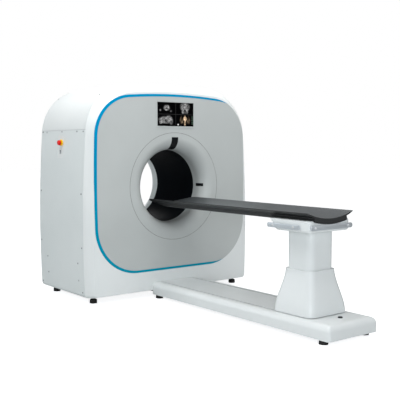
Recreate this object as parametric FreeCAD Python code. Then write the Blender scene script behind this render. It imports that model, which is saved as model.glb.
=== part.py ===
"""Computed-tomography scanner: a box gantry with a round bore, and a travelling, lifting patient table.

Frame: millimetres, +Z up, floor at Z = 0.  +Y runs from the table end into the gantry, +X is to the
right as seen from the table end.  The origin is under the middle of the whole machine.
Depths are measured from the gantry's front face: y(depth) turns a depth into a Y of the frame, and
the table, which stands in front of that face, has negative depths.
"""
import FreeCAD, Part
import math
import os

V = FreeCAD.Vector

# ---------------------------------------------------------------- driving dimensions: the gantry
GANTRY_HALF_W = 776.0        # half the width at the widest height
GANTRY_H = 1650.0            # floor to the crown of the top
GANTRY_DEPTH = 835.0         # front face to rear face
UNDERSIDE_Z = 47.5           # lower edge of the covers
ISO_Z = 860.0                # height of the bore's axis
BORE_R = 286.5               # free radius of the bore
FUNNEL_R = 419.0             # radius where the funnels meet the faces
TOP_ARCH_R = 4900.0          # crown of the top
SIDE_ARCH_R = 10300.0        # slight barrel of the sides
SIDE_CROWN_Z = 500.0         # height of the widest point of the sides
TOP_CORNER_R = 365.0
BOTTOM_CORNER_R = 28.0
WALL = 4.0                   # thickness of moulded covers
SEAM = 3.0                   # open joint between neighbouring covers
FIT = 0.3                    # gap between a piece and its seat
RUN = 0.05                   # radial clearance of a shaft in its bore
FRONT_COVER_D = 83.0         # depth of the front cover
REAR_COVER_D = 40.0          # depth of the rear cover
SHELL_SPLIT_Z = 1297.0       # joint between side panels and top shell

# ---------------------------------------------------------------- driving dimensions: the table
TABLE_REACH = 1825.0         # gantry face to the free end of the floor base
SLAB_HALF_W = 220.0
SLAB_TOP_Z = 120.9
SLAB_BOTTOM_Z = 27.8
COLUMN_D = -1458.0           # depth of the column's axis with the table fully out
TRAVEL = 1150.0              # stroke of the table into the gantry
LOWER, RAISE = 80.0, 100.0   # stroke of the lift, down and up from rest
HEAD_Z0, HEAD_Z1 = 644.0, 718.0
HEAD_HALF_W = 186.0
TOP_HALF_W = 200.0           # patient top, lip to lip
LIP_Z = 767.0
TOP_SAG = 40.0               # depth of the cradle

FRONT_Y = (TABLE_REACH - GANTRY_DEPTH) / 2.0


def y(depth):
    """Y of the frame for a depth behind the gantry's front face."""
    return FRONT_Y + depth


# ---------------------------------------------------------------- small modelling helpers
def box(x0, x1, d0, d1, z0, z1):
    """Block between two X values, two depths and two heights."""
    return Part.makeBox(x1 - x0, d1 - d0, z1 - z0, V(x0, y(d0), z0))


def rod(radius, start, end):
    """Solid cylinder between two (x, depth, z) points."""
    a, b = V(start[0], y(start[1]), start[2]), V(end[0], y(end[1]), end[2])
    return Part.makeCylinder(radius, (b - a).Length, a, b - a)


def tube(outer, inner, start, end):
    return rod(outer, start, end).cut(rod(inner, start, end))


def ring(outer, inner, d0, d1):
    """Tube about the bore's axis between two depths."""
    return tube(outer, inner, (0, d0, ISO_Z), (0, d1, ISO_Z))


def fuse(shapes):
    shapes = list(shapes)
    whole = shapes[0]
    if len(shapes) > 1:
        whole = whole.multiFuse(shapes[1:])
    return whole.removeSplitter()


def mirrored(shape):
    """Copy on the other side of the machine's middle plane."""
    return shape.mirror(V(0, 0, 0), V(1, 0, 0))


def polygon(points):
    return Part.Face(Part.makePolygon([V(*p) for p in points] + [V(*points[0])]))


def prism_x(points, x0, x1):
    """Extrude (depth, z) points along X."""
    return polygon([(x0, y(d), z) for d, z in points]).extrude(V(x1 - x0, 0, 0))


def hexagon(radius, x, depth, z0, z1):
    points = []
    for k in range(6):
        turn = math.radians(60 * k)
        points.append((x + radius * math.cos(turn), y(depth) + radius * math.sin(turn), z0))
    return polygon(points).extrude(V(0, 0, z1 - z0))


def arc(p, q, r):
    return Part.Arc(p, q, r).toShape()


def rounded_rectangle(x0, x1, y0, y1, z, radii):
    """Closed wire at height z, radii in the order of the corners (x0 y0), (x1 y0), (x1 y1), (x0 y1)."""
    corners = [(x0, y0, 1, 1), (x1, y0, -1, 1), (x1, y1, -1, -1), (x0, y1, 1, -1)]
    half = math.sqrt(0.5)
    stops = []
    for (cx, cy, sx, sy), r in zip(corners, radii):
        centre = V(cx + sx * r, cy + sy * r, z)
        on_x = V(cx + sx * r, cy, z)
        on_y = V(cx, cy + sy * r, z)
        middle = centre + V(-sx * r * half, -sy * r * half, 0)
        stops.append((on_y, middle, on_x) if sx == sy else (on_x, middle, on_y))
    edges = []
    for k, (first, middle, last) in enumerate(stops):
        edges.append(arc(first, middle, last))
        edges.append(Part.makeLine(last, stops[(k + 1) % 4][0]))
    return Part.Wire(edges)


def plate(x0, x1, d0, d1, z0, z1, radii):
    """Block with rounded upright corners."""
    wire = rounded_rectangle(x0, x1, y(d0), y(d1), z0, radii)
    return Part.Face(wire).extrude(V(0, 0, z1 - z0))


def face_plate(x0, x1, z0, z1, d0, d1, radius):
    """Block facing the table end, with rounded corners in its face."""
    wire = rounded_rectangle(x0, x1, z0, z1, 0, [radius] * 4)
    solid = Part.Face(wire).extrude(V(0, 0, -(d1 - d0)))
    solid.rotate(V(0, 0, 0), V(1, 0, 0), 90)
    solid.translate(V(0, y(d0), 0))
    return solid


# ---------------------------------------------------------------- the gantry's outline
class Outline:
    """Closed outline of the gantry as seen from the table end: crowned, with tangent corner arcs."""

    def __init__(self, half_w, top_z, bottom_z, top_r, bottom_r, centre_x=0.0, crown_z=SIDE_CROWN_Z):
        self.half_w, self.top_z, self.bottom_z = half_w, top_z, bottom_z
        self.top_r, self.bottom_r = top_r, bottom_r
        self.centre_x, self.crown_z = centre_x, crown_z

    def wire(self, depth, inset=0.0):
        top_c = (0.0, self.top_z - TOP_ARCH_R)
        side_c = (self.half_w - SIDE_ARCH_R, self.crown_z)
        corner = circles_meet(top_c, TOP_ARCH_R - self.top_r, side_c, SIDE_ARCH_R - self.top_r)
        low_z = self.bottom_z + self.bottom_r
        reach = SIDE_ARCH_R - self.bottom_r
        low = (side_c[0] + math.sqrt(reach ** 2 - (low_z - side_c[1]) ** 2), low_z)
        crown = (0.0, self.top_z - inset)
        top_end = along(top_c, corner, TOP_ARCH_R - inset)
        side_top = along(side_c, corner, SIDE_ARCH_R - inset)
        side_low = along(side_c, low, SIDE_ARCH_R - inset)
        low_end = (low[0], self.bottom_z + inset)
        corner_mid = bisect(corner, top_end, side_top, self.top_r - inset)
        side_mid = bisect(side_c, side_top, side_low, SIDE_ARCH_R - inset)
        low_mid = bisect(low, side_low, low_end, self.bottom_r - inset)

        def at(point, side):
            return V(self.centre_x + side * point[0], y(depth), point[1])

        edges = [arc(at(top_end, -1), at(crown, 1), at(top_end, 1))]
        for p, q, r in ((top_end, corner_mid, side_top), (side_top, side_mid, side_low),
                        (side_low, low_mid, low_end)):
            edges.append(arc(at(p, 1), at(q, 1), at(r, 1)))
        edges.append(Part.makeLine(at(low_end, 1), at(low_end, -1)))
        for p, q, r in ((low_end, low_mid, side_low), (side_low, side_mid, side_top),
                        (side_top, corner_mid, top_end)):
            edges.append(arc(at(p, -1), at(q, -1), at(r, -1)))
        return Part.Wire(edges)

    def prism(self, d0, d1, inset=0.0):
        return Part.Face(self.wire(d0, inset)).extrude(V(0, d1 - d0, 0))


def circles_meet(a, ra, b, rb):
    """Upper right meeting point of two circles."""
    dx, dz = b[0] - a[0], b[1] - a[1]
    gap = math.hypot(dx, dz)
    along_line = (ra ** 2 - rb ** 2 + gap ** 2) / (2 * gap)
    across = math.sqrt(ra ** 2 - along_line ** 2)
    mid = (a[0] + along_line * dx / gap, a[1] + along_line * dz / gap)
    both = [(mid[0] + s * across * dz / gap, mid[1] - s * across * dx / gap) for s in (1, -1)]
    return max(both, key=lambda p: p[0] + p[1])


def along(centre, through, radius):
    """Point on a circle in the direction of another point."""
    turn = math.atan2(through[1] - centre[1], through[0] - centre[0])
    return (centre[0] + radius * math.cos(turn), centre[1] + radius * math.sin(turn))


def bisect(centre, first, last, radius):
    """Middle of the arc between two points of a circle."""
    a = math.atan2(first[1] - centre[1], first[0] - centre[0])
    b = math.atan2(last[1] - centre[1], last[0] - centre[0])
    turn = (a + b) / 2
    return (centre[0] + radius * math.cos(turn), centre[1] + radius * math.sin(turn))


BODY = Outline(GANTRY_HALF_W, GANTRY_H, UNDERSIDE_Z, TOP_CORNER_R, BOTTOM_CORNER_R)


def drawn_in(side, top, bottom):
    """The gantry's outline drawn in at its sides, its top and its bottom."""
    return Outline(GANTRY_HALF_W - side, GANTRY_H - top, UNDERSIDE_Z + bottom, TOP_CORNER_R - side / 2,
                   BOTTOM_CORNER_R)


# depth share of the front cover -> how far its edge is drawn in at the side, the top and the bottom
FRONT_BEVEL = [(1.0, 0, 0, 0), (0.72, 8, 9, 2), (0.43, 20, 24, 5), (0.145, 34, 42, 9), (0.0, 44, 56, 13)]
REAR_BEVEL = [(1.0, 0, 0, 0), (0.68, 4, 4, 3), (0.34, 13, 14, 8), (0.10, 24, 26, 14), (0.0, 32, 35, 19)]


def bevel_at(table, share):
    """Draw-in of a bevelled edge at a share of the cover's depth."""
    for (s1, *a), (s0, *b) in zip(table, table[1:]):
        if s0 <= share <= s1:
            t = (share - s0) / (s1 - s0)
            return [q + t * (p - q) for p, q in zip(a, b)]
    return list(table[0][1:])


def domed_shell(table, depth_of, cover_d, face):
    """Cover with a bevelled rim: walls WALL thick, closed by a face of the given thickness."""
    outer = [drawn_in(*row[1:]).wire(depth_of(row[0] * cover_d)) for row in table]
    shares = [row[0] for row in table if row[0] * cover_d > 1.5 * face]
    inner = [drawn_in(*bevel_at(table, s)).wire(depth_of(s * cover_d), WALL) for s in shares]
    inner[0] = drawn_in(0, 0, 0).wire(depth_of(cover_d + 1.0), WALL)
    inner.append(drawn_in(*bevel_at(table, face / cover_d)).wire(depth_of(face), WALL))
    return Part.makeLoft(outer, True, True).cut(Part.makeLoft(inner, True, True))


# ---------------------------------------------------------------- front face: panel, stripe, funnel
PANEL_T = 4.0
FACE_T = 8.3                 # front ring of the cover plus the flange that carries the panel
PANEL_FLANGE = 25.0
PANEL = Outline(718.0, 1576.0, 208.0, 320.0, 370.0, -9.0, 860.0)
PANEL_BARE = Outline(720.0, 1558.0, 226.0, 300.0, 350.0, 18.0, 860.0)   # the part the stripe leaves
STRIPE_PROUD = 0.8
FUNNEL_WALL = 5.0
FUNNEL_LIP = 16.0            # flange behind the panel
FRONT_BELL_R = 92.0          # quarter-rounds of the two mouths
REAR_BELL_R = FUNNEL_R - BORE_R - 2.5
FRONT_THROAT = 53.0          # straight part after the quarter-round
REAR_THROAT = 36.0

DISPLAY_X = (-169.0, 182.0)
DISPLAY_Z = (1327.0, 1516.0)
BEZEL = 9.0
BEZEL_PROUD = 3.0
WINDOW_TOP_HALF_W, WINDOW_TOP_R = 31.5, 384.0
WINDOW_SIDE_HALF_H, WINDOW_SIDE_R = 12.5, 307.0
WINDOW_INSET, WINDOW_T = 1.5, 2.5
WINDOW_END_D = FRONT_BELL_R + 20.0  # the windows run a little way into the throat


def turned(points_and_arcs):
    """Solid of revolution about the bore's axis from a closed list of (radius, depth) edges."""
    edges = []
    for item in points_and_arcs:
        stops = [V(r, y(d), ISO_Z) for r, d in item]
        edges.append(Part.makeLine(*stops) if len(stops) == 2 else arc(*stops))
    face = Part.Face(Part.Wire(edges))
    return face.revolve(V(0, y(0), ISO_Z), V(0, 1, 0), 360)


def bell_point(bell, radius, turn):
    """Point on a round about the centre of a mouth's quarter-round, turn in degrees from the face."""
    a = math.radians(turn)
    return (BORE_R + bell - radius * math.sin(a), bell - radius * math.cos(a))


def funnel(bell, throat, skin):
    """Flat rim, quarter-round mouth, straight throat, and a flange that seats behind the skin."""
    back = bell - FUNNEL_WALL
    seat = skin + FIT
    flange_back = seat + WALL
    start = math.degrees(math.acos((bell - flange_back) / back))
    end = bell + throat
    r0, r1 = BORE_R, BORE_R + FUNNEL_WALL
    lip = FUNNEL_R + FUNNEL_LIP
    mid = (start + 90) / 2
    return turned([
        [(FUNNEL_R, 0), bell_point(bell, bell, 0)],
        [bell_point(bell, bell, 0), bell_point(bell, bell, 45), bell_point(bell, bell, 90)],
        [(r0, bell), (r0, end)], [(r0, end), (r1, end)], [(r1, end), (r1, bell)],
        [bell_point(bell, back, 90), bell_point(bell, back, mid), bell_point(bell, back, start)],
        [bell_point(bell, back, start), (lip, flange_back)], [(lip, flange_back), (lip, seat)],
        [(lip, seat), (FUNNEL_R, seat)], [(FUNNEL_R, seat), (FUNNEL_R, 0)]])


def window_shell():
    """Skin just behind the funnel's surface, from which the laser windows are cut."""
    outer, inner = FRONT_BELL_R - WINDOW_INSET, FRONT_BELL_R - WINDOW_INSET - WINDOW_T
    rim = FUNNEL_R - 10
    r0, r1 = BORE_R + WINDOW_INSET, BORE_R + WINDOW_INSET + WINDOW_T
    return turned([
        [(rim, WINDOW_INSET), bell_point(FRONT_BELL_R, outer, 0)],
        [bell_point(FRONT_BELL_R, outer, 0), bell_point(FRONT_BELL_R, outer, 45), bell_point(FRONT_BELL_R, outer, 90)],
        [bell_point(FRONT_BELL_R, outer, 90), (r0, WINDOW_END_D)], [(r0, WINDOW_END_D), (r1, WINDOW_END_D)],
        [(r1, WINDOW_END_D), bell_point(FRONT_BELL_R, inner, 90)],
        [bell_point(FRONT_BELL_R, inner, 90), bell_point(FRONT_BELL_R, inner, 45), bell_point(FRONT_BELL_R, inner, 0)],
        [bell_point(FRONT_BELL_R, inner, 0), (rim, WINDOW_INSET + WINDOW_T)],
        [(rim, WINDOW_INSET + WINDOW_T), (rim, WINDOW_INSET)]])


def window_blocks(grow):
    """Three blocks on the funnel, at twelve, three and nine o'clock, that take the laser windows."""
    low = BORE_R - 8.0
    top = box(-WINDOW_TOP_HALF_W - grow, WINDOW_TOP_HALF_W + grow, -1, WINDOW_END_D,
              ISO_Z + low, ISO_Z + WINDOW_TOP_R + grow)
    side = box(low, WINDOW_SIDE_R + grow, -1, WINDOW_END_D,
               ISO_Z - WINDOW_SIDE_HALF_H - grow, ISO_Z + WINDOW_SIDE_HALF_H + grow)
    return [top, side, mirrored(side)]


def front_face_parts():
    panel_seat = PANEL.prism(-5, PANEL_T + FIT)
    through = PANEL.prism(-5, FACE_T + 5, PANEL_FLANGE)
    cover = domed_shell(FRONT_BEVEL, lambda d: d, FRONT_COVER_D, FACE_T)
    flange = BODY.prism(FRONT_COVER_D - WALL, FRONT_COVER_D, WALL - 0.5).cut(
        BODY.prism(FRONT_COVER_D - WALL - 1, FRONT_COVER_D + 1, HOOP_INSET + HOOP_T))
    cover = cover.fuse(flange).cut(Part.makeCompound([panel_seat, through])).removeSplitter()

    opening = rod(FUNNEL_R + FIT, (0, -10, ISO_Z), (0, 20, ISO_Z))
    bezel_x = (DISPLAY_X[0] - BEZEL, DISPLAY_X[1] + BEZEL)
    bezel_z = (DISPLAY_Z[0] - BEZEL, DISPLAY_Z[1] + BEZEL)
    display_hole = face_plate(bezel_x[0] - FIT, bezel_x[1] + FIT, bezel_z[0] - FIT, bezel_z[1] + FIT,
                              -10, 20, 10 + FIT)
    whole = PANEL.prism(0, PANEL_T, FIT)
    bare = PANEL_BARE.prism(-5, PANEL_T + 5, FIT / 2)
    stripe_hole = PANEL_BARE.prism(-10, PANEL_T + 10, -FIT / 2)
    panel = whole.common(bare).cut(opening).cut(display_hole)
    stripe = PANEL.prism(-STRIPE_PROUD, PANEL_T, FIT).cut(stripe_hole)

    mouth = funnel(FRONT_BELL_R, FRONT_THROAT, PANEL_T)
    for block in window_blocks(0):
        mouth = mouth.cut(block)
    skin = window_shell()
    windows = [skin.common(block) for block in window_blocks(-FIT)]
    tunnel = ring(BORE_R + WALL, BORE_R, FRONT_BELL_R + FRONT_THROAT,
                  GANTRY_DEPTH - REAR_BELL_R - REAR_THROAT)

    housing = face_plate(*bezel_x, *bezel_z, -BEZEL_PROUD, 38, 10)
    behind = face_plate(bezel_x[0] - 8, bezel_x[1] + 8, bezel_z[0] - 8, bezel_z[1] + 8,
                        PANEL_T + FIT, PANEL_T + FIT + 3, 12)
    screen = face_plate(*DISPLAY_X, *DISPLAY_Z, -BEZEL_PROUD - 1, 4, 3)
    glass = face_plate(DISPLAY_X[0] + FIT, DISPLAY_X[1] - FIT, DISPLAY_Z[0] + FIT, DISPLAY_Z[1] - FIT,
                       -1.0, 4, 3)
    return {
        "front_cover": [cover], "front_panel": [panel], "accent_strip": [stripe],
        "front_funnel": [mouth], "laser_windows": windows, "bore_tunnel": [tunnel],
        "display_housing": [housing.fuse(behind).cut(screen).removeSplitter()], "display_glass": [glass],
    }


# ---------------------------------------------------------------- steel frame, hoops and feet
FRAME_Z0, FRAME_Z1 = 56.0, 116.0
FOOT_X, FOOT_D = 679.0, (116.0, 712.0)
HOOP_INSET = WALL + FIT
HOOP_T = 12.0
HOOP_W = 42.0
PLATE_D = (395.0, 425.0)     # stator plate that carries the rotor bearing
BEARING_OUT_R, BEARING_MID_R, BEARING_IN_R = 475.0, 425.0, 395.0
BEARING_D = (345.0, 395.0)
REAR_SEAM_D = GANTRY_DEPTH - REAR_COVER_D
SCREW_HEAD_R, SCREW_HEAD_H, SCREW_SHANK_R, SCREW_LENGTH = 6.0, 2.6, 2.5, 13.0
UPPER_RAIL_Z = (SHELL_SPLIT_Z - 30.0, SHELL_SPLIT_Z + 30.0)
LOWER_RAIL_Z = (150.0, 320.0)
SCREW_ROWS = [               # (depth, z) of the side panels' screws
    (112, 1283), (208, 1284), (449, 1285), (704, 1286), (775, 1288), (112, 822), (775, 821),
    (106, 423), (772, 423), (112, 88), (772, 88), (172, 301), (671, 301), (168, 173), (664, 174)]
TOP_SCREWS = [(-1, 112), (1, 112), (-1, 775), (1, 775)]      # side and depth, on the top corners


def side_x(z, inset=0.0):
    """Half width of the side panels at a height."""
    return GANTRY_HALF_W - SIDE_ARCH_R + math.sqrt((SIDE_ARCH_R - inset) ** 2 - (z - SIDE_CROWN_Z) ** 2)


def cover_screws(grow=0.0):
    """Button-head screws of the side panels and the top shell, grown for the holes they sit in."""
    screws = []
    for depth, z in SCREW_ROWS:
        x = side_x(z)
        for side in (-1, 1):
            tip, seat = (side * (x - SCREW_LENGTH), depth, z), (side * (x + 0.6), depth, z)
            crown = (side * (x + 0.6 + SCREW_HEAD_H), depth, z)
            shank = rod(SCREW_SHANK_R + grow, tip, seat)
            screws.append(shank if grow else fuse([shank, rod(SCREW_HEAD_R, seat, crown)]))
    for side, depth in TOP_SCREWS:
        turn = math.radians(52)
        foot = along(corner_centre(), (corner_centre()[0] + math.cos(turn),
                                       corner_centre()[1] + math.sin(turn)), TOP_CORNER_R)
        n = (math.cos(turn), math.sin(turn))

        def at(distance):
            return (side * (foot[0] + distance * n[0]), depth, foot[1] + distance * n[1])

        shank = rod(SCREW_SHANK_R + grow, at(-SCREW_LENGTH), at(0.2))
        screws.append(shank if grow else fuse([shank, rod(SCREW_HEAD_R, at(0.2), at(SCREW_HEAD_H))]))
    return screws


def corner_centre():
    """Centre of the right upper corner arc of the body outline."""
    return circles_meet((0.0, GANTRY_H - TOP_ARCH_R), TOP_ARCH_R - TOP_CORNER_R,
                        (GANTRY_HALF_W - SIDE_ARCH_R, SIDE_CROWN_Z), SIDE_ARCH_R - TOP_CORNER_R)


def foot_set(pad_r, pad_h, stud_r, stud_top, x, depth):
    """Levelling foot: rubber-shod pad turned in one with its stud."""
    pad = rod(pad_r, (x, depth, 0), (x, depth, pad_h))
    pad = pad.makeFillet(3.0, [e for e in pad.Edges if len(e.Vertexes) == 1])
    return fuse([pad, rod(stud_r, (x, depth, pad_h), (x, depth, stud_top))])


def frame_parts():
    bar = FRAME_Z1 - FRAME_Z0
    cross_x = side_x(FRAME_Z0, HOOP_INSET + HOOP_T) - FIT
    long_d = (FOOT_D[0] - 30, FOOT_D[1] + 30)
    bars, hollows = [], []
    for side in (-1, 1):
        x = side * FOOT_X
        bars.append(box(x - bar / 2, x + bar / 2, *long_d, FRAME_Z0, FRAME_Z1))
        hollows.append(box(x - bar / 2 + 5, x + bar / 2 - 5, long_d[0] + 60, long_d[1] - 60,
                           FRAME_Z0 + 5, FRAME_Z1 - 5))
    for depth in FOOT_D:
        bars.append(box(-cross_x, cross_x, depth - 25, depth + 25, FRAME_Z0, FRAME_Z1))
        hollows.append(box(-FOOT_X + 60, FOOT_X - 60, depth - 20, depth + 20, FRAME_Z0 + 5, FRAME_Z1 - 5))
    outline = [(-700, FRAME_Z1), (700, FRAME_Z1), (700, 1150), (420, 1400), (-420, 1400), (-700, 1150)]
    stator = polygon([(x, y(PLATE_D[0]), z) for x, z in outline]).extrude(V(0, PLATE_D[1] - PLATE_D[0], 0))
    stator = stator.cut(rod(BEARING_MID_R + 5, (0, 300, ISO_Z), (0, 500, ISO_Z)))
    gussets = []
    for side in (-1, 1):
        x = side * 679.0
        wedge = prism_x([(PLATE_D[1], FRAME_Z1), (PLATE_D[1] + 240, FRAME_Z1), (PLATE_D[1], 700)], x - 8, x + 8)
        gussets.append(wedge)
        gussets.append(prism_x([(PLATE_D[0], FRAME_Z1), (PLATE_D[0] - 70, FRAME_Z1), (PLATE_D[0], 500)],
                               x - 8, x + 8))
    arm = box(-20, 20, PLATE_D[1], REAR_SEAM_D - HOOP_W, 1340, 1380)
    head = box(-180, 180, REAR_SEAM_D - HOOP_W, REAR_SEAM_D - HOOP_W + 8, 1340, 1380)
    frame = fuse(bars + [stator] + gussets + [arm, head]).cut(Part.makeCompound(hollows))

    hoops = []
    for d0, d1 in ((FRONT_COVER_D, FRONT_COVER_D + HOOP_W), (REAR_SEAM_D - HOOP_W, REAR_SEAM_D)):
        hoop = BODY.prism(d0, d1, HOOP_INSET).cut(BODY.prism(d0 - 1, d1 + 1, HOOP_INSET + HOOP_T))
        hoops.append(hoop.cut(box(-cross_x - FIT, cross_x + FIT, d0 - 1, d1 + 1, 0, FRAME_Z1 + 60)))
    band = BODY.prism(FRONT_COVER_D + HOOP_W, REAR_SEAM_D - HOOP_W, HOOP_INSET)
    band = band.cut(BODY.prism(FRONT_COVER_D, REAR_SEAM_D, HOOP_INSET + 5))
    for z0, z1 in (UPPER_RAIL_Z, LOWER_RAIL_Z):
        for side in (-1, 1):
            x0, x1 = sorted((side * 650, side * 800))
            hoops.append(band.common(box(x0, x1, FRONT_COVER_D + HOOP_W, REAR_SEAM_D - HOOP_W, z0, z1)))
    rails = fuse(hoops).cut(Part.makeCompound(cover_screws(FIT)))

    stations = [(side * FOOT_X, depth) for side in (-1, 1) for depth in FOOT_D]
    feet = [foot_set(28.0, 30.0, 8.0, 140.0, x, depth) for x, depth in stations]
    frame = frame.cut(Part.makeCompound([rod(8.0 + FIT, (x, d, 0), (x, d, 200)) for x, d in stations]))
    nuts = []
    for x, depth in stations:
        nut = hexagon(15.0, x, depth, FRAME_Z0 - 14.0, FRAME_Z0)
        nuts.append(nut.cut(rod(8.0 + RUN, (x, depth, 0), (x, depth, 200))))
    slab_stations = [(side * SLAB_FOOT_X, depth) for side in (-1, 1) for depth in SLAB_FOOT_D]
    for x, depth in slab_stations:
        feet.append(foot_set(29.0, 23.0, 6.0, 50.0, x, depth))
        nut = hexagon(11.0, x, depth, 23.5, CHASSIS_Z[0])
        nuts.append(nut.cut(rod(6.0 + RUN, (x, depth, 0), (x, depth, 60))))
    cabinet = box(-560, -180, 520, 740, FRAME_Z1, 420).cut(box(-550, -190, 530, 730, FRAME_Z1 + 10, 410))
    return {"gantry_frame": [frame], "cover_hoops": [rails], "levelling_feet": feet,
            "foot_locknuts": nuts, "power_supply": [cabinet.cut(ring(700, 1, 519, 530))]}


# ---------------------------------------------------------------- side, top and rear covers
SWITCH_D, SWITCH_Z = (415.0, 511.0), (1084.0, 1256.0)
ESTOP_D, ESTOP_Z = 450.0, 1202.0
ROCKER_D, ROCKER_Z = 463.0, 1131.0
ROCKER_HALF = (9.0, 13.5)    # half width and half height of the power switch
FAN_Z = 1400.0
FAN_HALF = 80.0
VENT_SLOT_W, VENT_PITCH, VENT_HALF_H = 8.0, 16.0, 56.0


def side_block(x0, d0, d1, z0, z1):
    """Block over the left side of the gantry."""
    return box(-GANTRY_HALF_W - 20, -x0, d0, d1, z0, z1)


def cover_parts():
    d0, d1 = FRONT_COVER_D + SEAM, REAR_SEAM_D - SEAM
    band = BODY.prism(d0, d1).cut(BODY.prism(d0 - 1, d1 + 1, WALL))
    holes = Part.makeCompound(cover_screws(FIT))
    floor_edge = side_x(UNDERSIDE_Z) - 60
    left = band.common(side_block(floor_edge, d0, d1, 0, SHELL_SPLIT_Z - SEAM / 2)).cut(holes)
    right = mirrored(left)
    top = band.common(box(-900, 900, d0, d1, SHELL_SPLIT_Z + SEAM / 2, 2000)).cut(holes)
    plate_block = side_block(floor_edge, *SWITCH_D, *SWITCH_Z)
    pocket = plate_block.makeFillet(14.0, [e for e in plate_block.Edges if is_along_x(e)])
    left = left.cut(pocket)
    return {"side_panel_left": [left], "side_panel_right": [right], "top_shell": [top]}


def is_along_x(edge):
    a, b = edge.Vertexes[0].Point, edge.Vertexes[-1].Point
    return abs(a.y - b.y) < 1e-6 and abs(a.z - b.z) < 1e-6 and abs(a.x - b.x) > 1e-6


def is_along_y(edge):
    return edge.BoundBox.XLength < 1e-3 and edge.BoundBox.ZLength < 1e-3


def rounded_bar(bar, across):
    """Flat bar with rounded ends and softened edges; across picks the edges through its thickness."""
    bar = bar.makeFillet(RAIL_END_R, [e for e in bar.Edges if across(e)])
    return bar.makeFillet(1.5, bar.Edges)


PLATE_INSET = 1.5
PLATE_T = 6.0
COLLAR_R, COLLAR_T, NECK_R = 24.0, 10.0, 11.0
STEM_R, CAP_R, CAP_T = 6.0, 19.0, 15.0
PRESS = 4.0                  # travel of the emergency stop
TWIST_R = 4.0


def switch_parts():
    block = side_block(side_x(UNDERSIDE_Z) - 60, SWITCH_D[0] + FIT, SWITCH_D[1] - FIT,
                       SWITCH_Z[0] + FIT, SWITCH_Z[1] - FIT)
    block = block.makeFillet(14.0 - FIT, [e for e in block.Edges if is_along_x(e)])
    skin = BODY.prism(SWITCH_D[0], SWITCH_D[1], PLATE_INSET)
    skin = skin.cut(BODY.prism(SWITCH_D[0] - 1, SWITCH_D[1] + 1, PLATE_INSET + PLATE_T))
    face = skin.common(block)
    flange = BODY.prism(SWITCH_D[0] - 12, SWITCH_D[1] + 12, WALL + FIT)
    flange = flange.cut(BODY.prism(SWITCH_D[0] - 13, SWITCH_D[1] + 13, WALL + FIT + 3))
    flange = flange.common(side_block(700, SWITCH_D[0] - 12, SWITCH_D[1] + 12, SWITCH_Z[0] - 12,
                                      SWITCH_Z[1] + 10))
    x_stop = -side_x(ESTOP_Z, PLATE_INSET)
    x_rock = -side_x(ROCKER_Z, PLATE_INSET)
    slot = box(-800, -700, ROCKER_D - ROCKER_HALF[0] - FIT, ROCKER_D + ROCKER_HALF[0] + FIT,
               ROCKER_Z - ROCKER_HALF[1] - FIT, ROCKER_Z + ROCKER_HALF[1] + FIT)
    stop_at = lambda x: (x, ESTOP_D, ESTOP_Z)
    plate_body = fuse([face, flange]).cut(rod(NECK_R + FIT, stop_at(-800), stop_at(-700))).cut(slot)
    pin = rod(1.5, (x_rock + 6, ROCKER_D - 14, ROCKER_Z), (x_rock + 6, ROCKER_D + 14, ROCKER_Z))
    ears = [box(x_rock + 4, x_rock + 10, ROCKER_D + s * 12 - 2, ROCKER_D + s * 12 + 2,
                ROCKER_Z - 6, ROCKER_Z + 6) for s in (-1, 1)]
    plate_body = fuse([plate_body, pin] + ears)

    flange_x = x_stop - 2.2
    front_x = flange_x - COLLAR_T
    collar = fuse([rod(COLLAR_R, stop_at(flange_x), stop_at(front_x)),
                   rod(NECK_R, stop_at(flange_x), stop_at(flange_x + 42))])
    rim = [e for e in collar.Edges if len(e.Vertexes) == 1 and abs(e.BoundBox.XMin - front_x) < 1e-3
           and e.BoundBox.ZLength > 2 * NECK_R + 5]
    collar = collar.makeChamfer(3.0, rim)
    locknut = tube(17.0, NECK_R, stop_at(x_stop + PLATE_T + 3), stop_at(x_stop + PLATE_T + 10))
    collar = collar.fuse(locknut).removeSplitter()
    collar = collar.cut(rod(STEM_R + RUN, stop_at(-850), stop_at(flange_x + 36)))
    cap_back = front_x - PRESS - 1.0
    cap_front = cap_back - CAP_T
    stem = fuse([rod(STEM_R, stop_at(flange_x + 30), stop_at(cap_back)),
                 rod(TWIST_R, stop_at(cap_back), stop_at(cap_back - 9))])
    cap = rod(CAP_R, stop_at(cap_back), stop_at(cap_front))
    edge = [e for e in cap.Edges if len(e.Vertexes) == 1 and abs(e.BoundBox.XMin - cap_front) < 1e-3]
    cap = cap.makeFillet(6.0, edge)
    grips = [rod(2.5, (cap_back + 1, ESTOP_D + 21 * math.cos(k), ESTOP_Z + 21 * math.sin(k)),
                 (cap_front - 1, ESTOP_D + 21 * math.cos(k), ESTOP_Z + 21 * math.sin(k)))
             for k in [math.radians(a) for a in range(0, 360, 60)]]
    cap = cap.cut(Part.makeCompound(grips)).cut(rod(TWIST_R + RUN, stop_at(cap_back + 1), stop_at(cap_back - 9.3)))
    lever = prism_y([(x_rock - 4, ROCKER_Z + 13), (x_rock - 1, ROCKER_Z), (x_rock - 4, ROCKER_Z - 13),
                     (x_rock + 8.5, ROCKER_Z - 9), (x_rock + 8.5, ROCKER_Z + 9)],
                    ROCKER_D - ROCKER_HALF[0], ROCKER_D + ROCKER_HALF[0])
    lever = lever.cut(rod(1.5 + RUN, (x_rock + 6, ROCKER_D - 20, ROCKER_Z), (x_rock + 6, ROCKER_D + 20, ROCKER_Z)))
    return {"switch_plate": [plate_body], "estop_collar": [collar], "estop_stem": [stem],
            "estop_cap": [cap], "power_rocker": [lever]}


def prism_y(points, d0, d1):
    """Extrude (x, z) points along Y."""
    return polygon([(x, y(d0), z) for x, z in points]).extrude(V(0, d1 - d0, 0))


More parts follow.
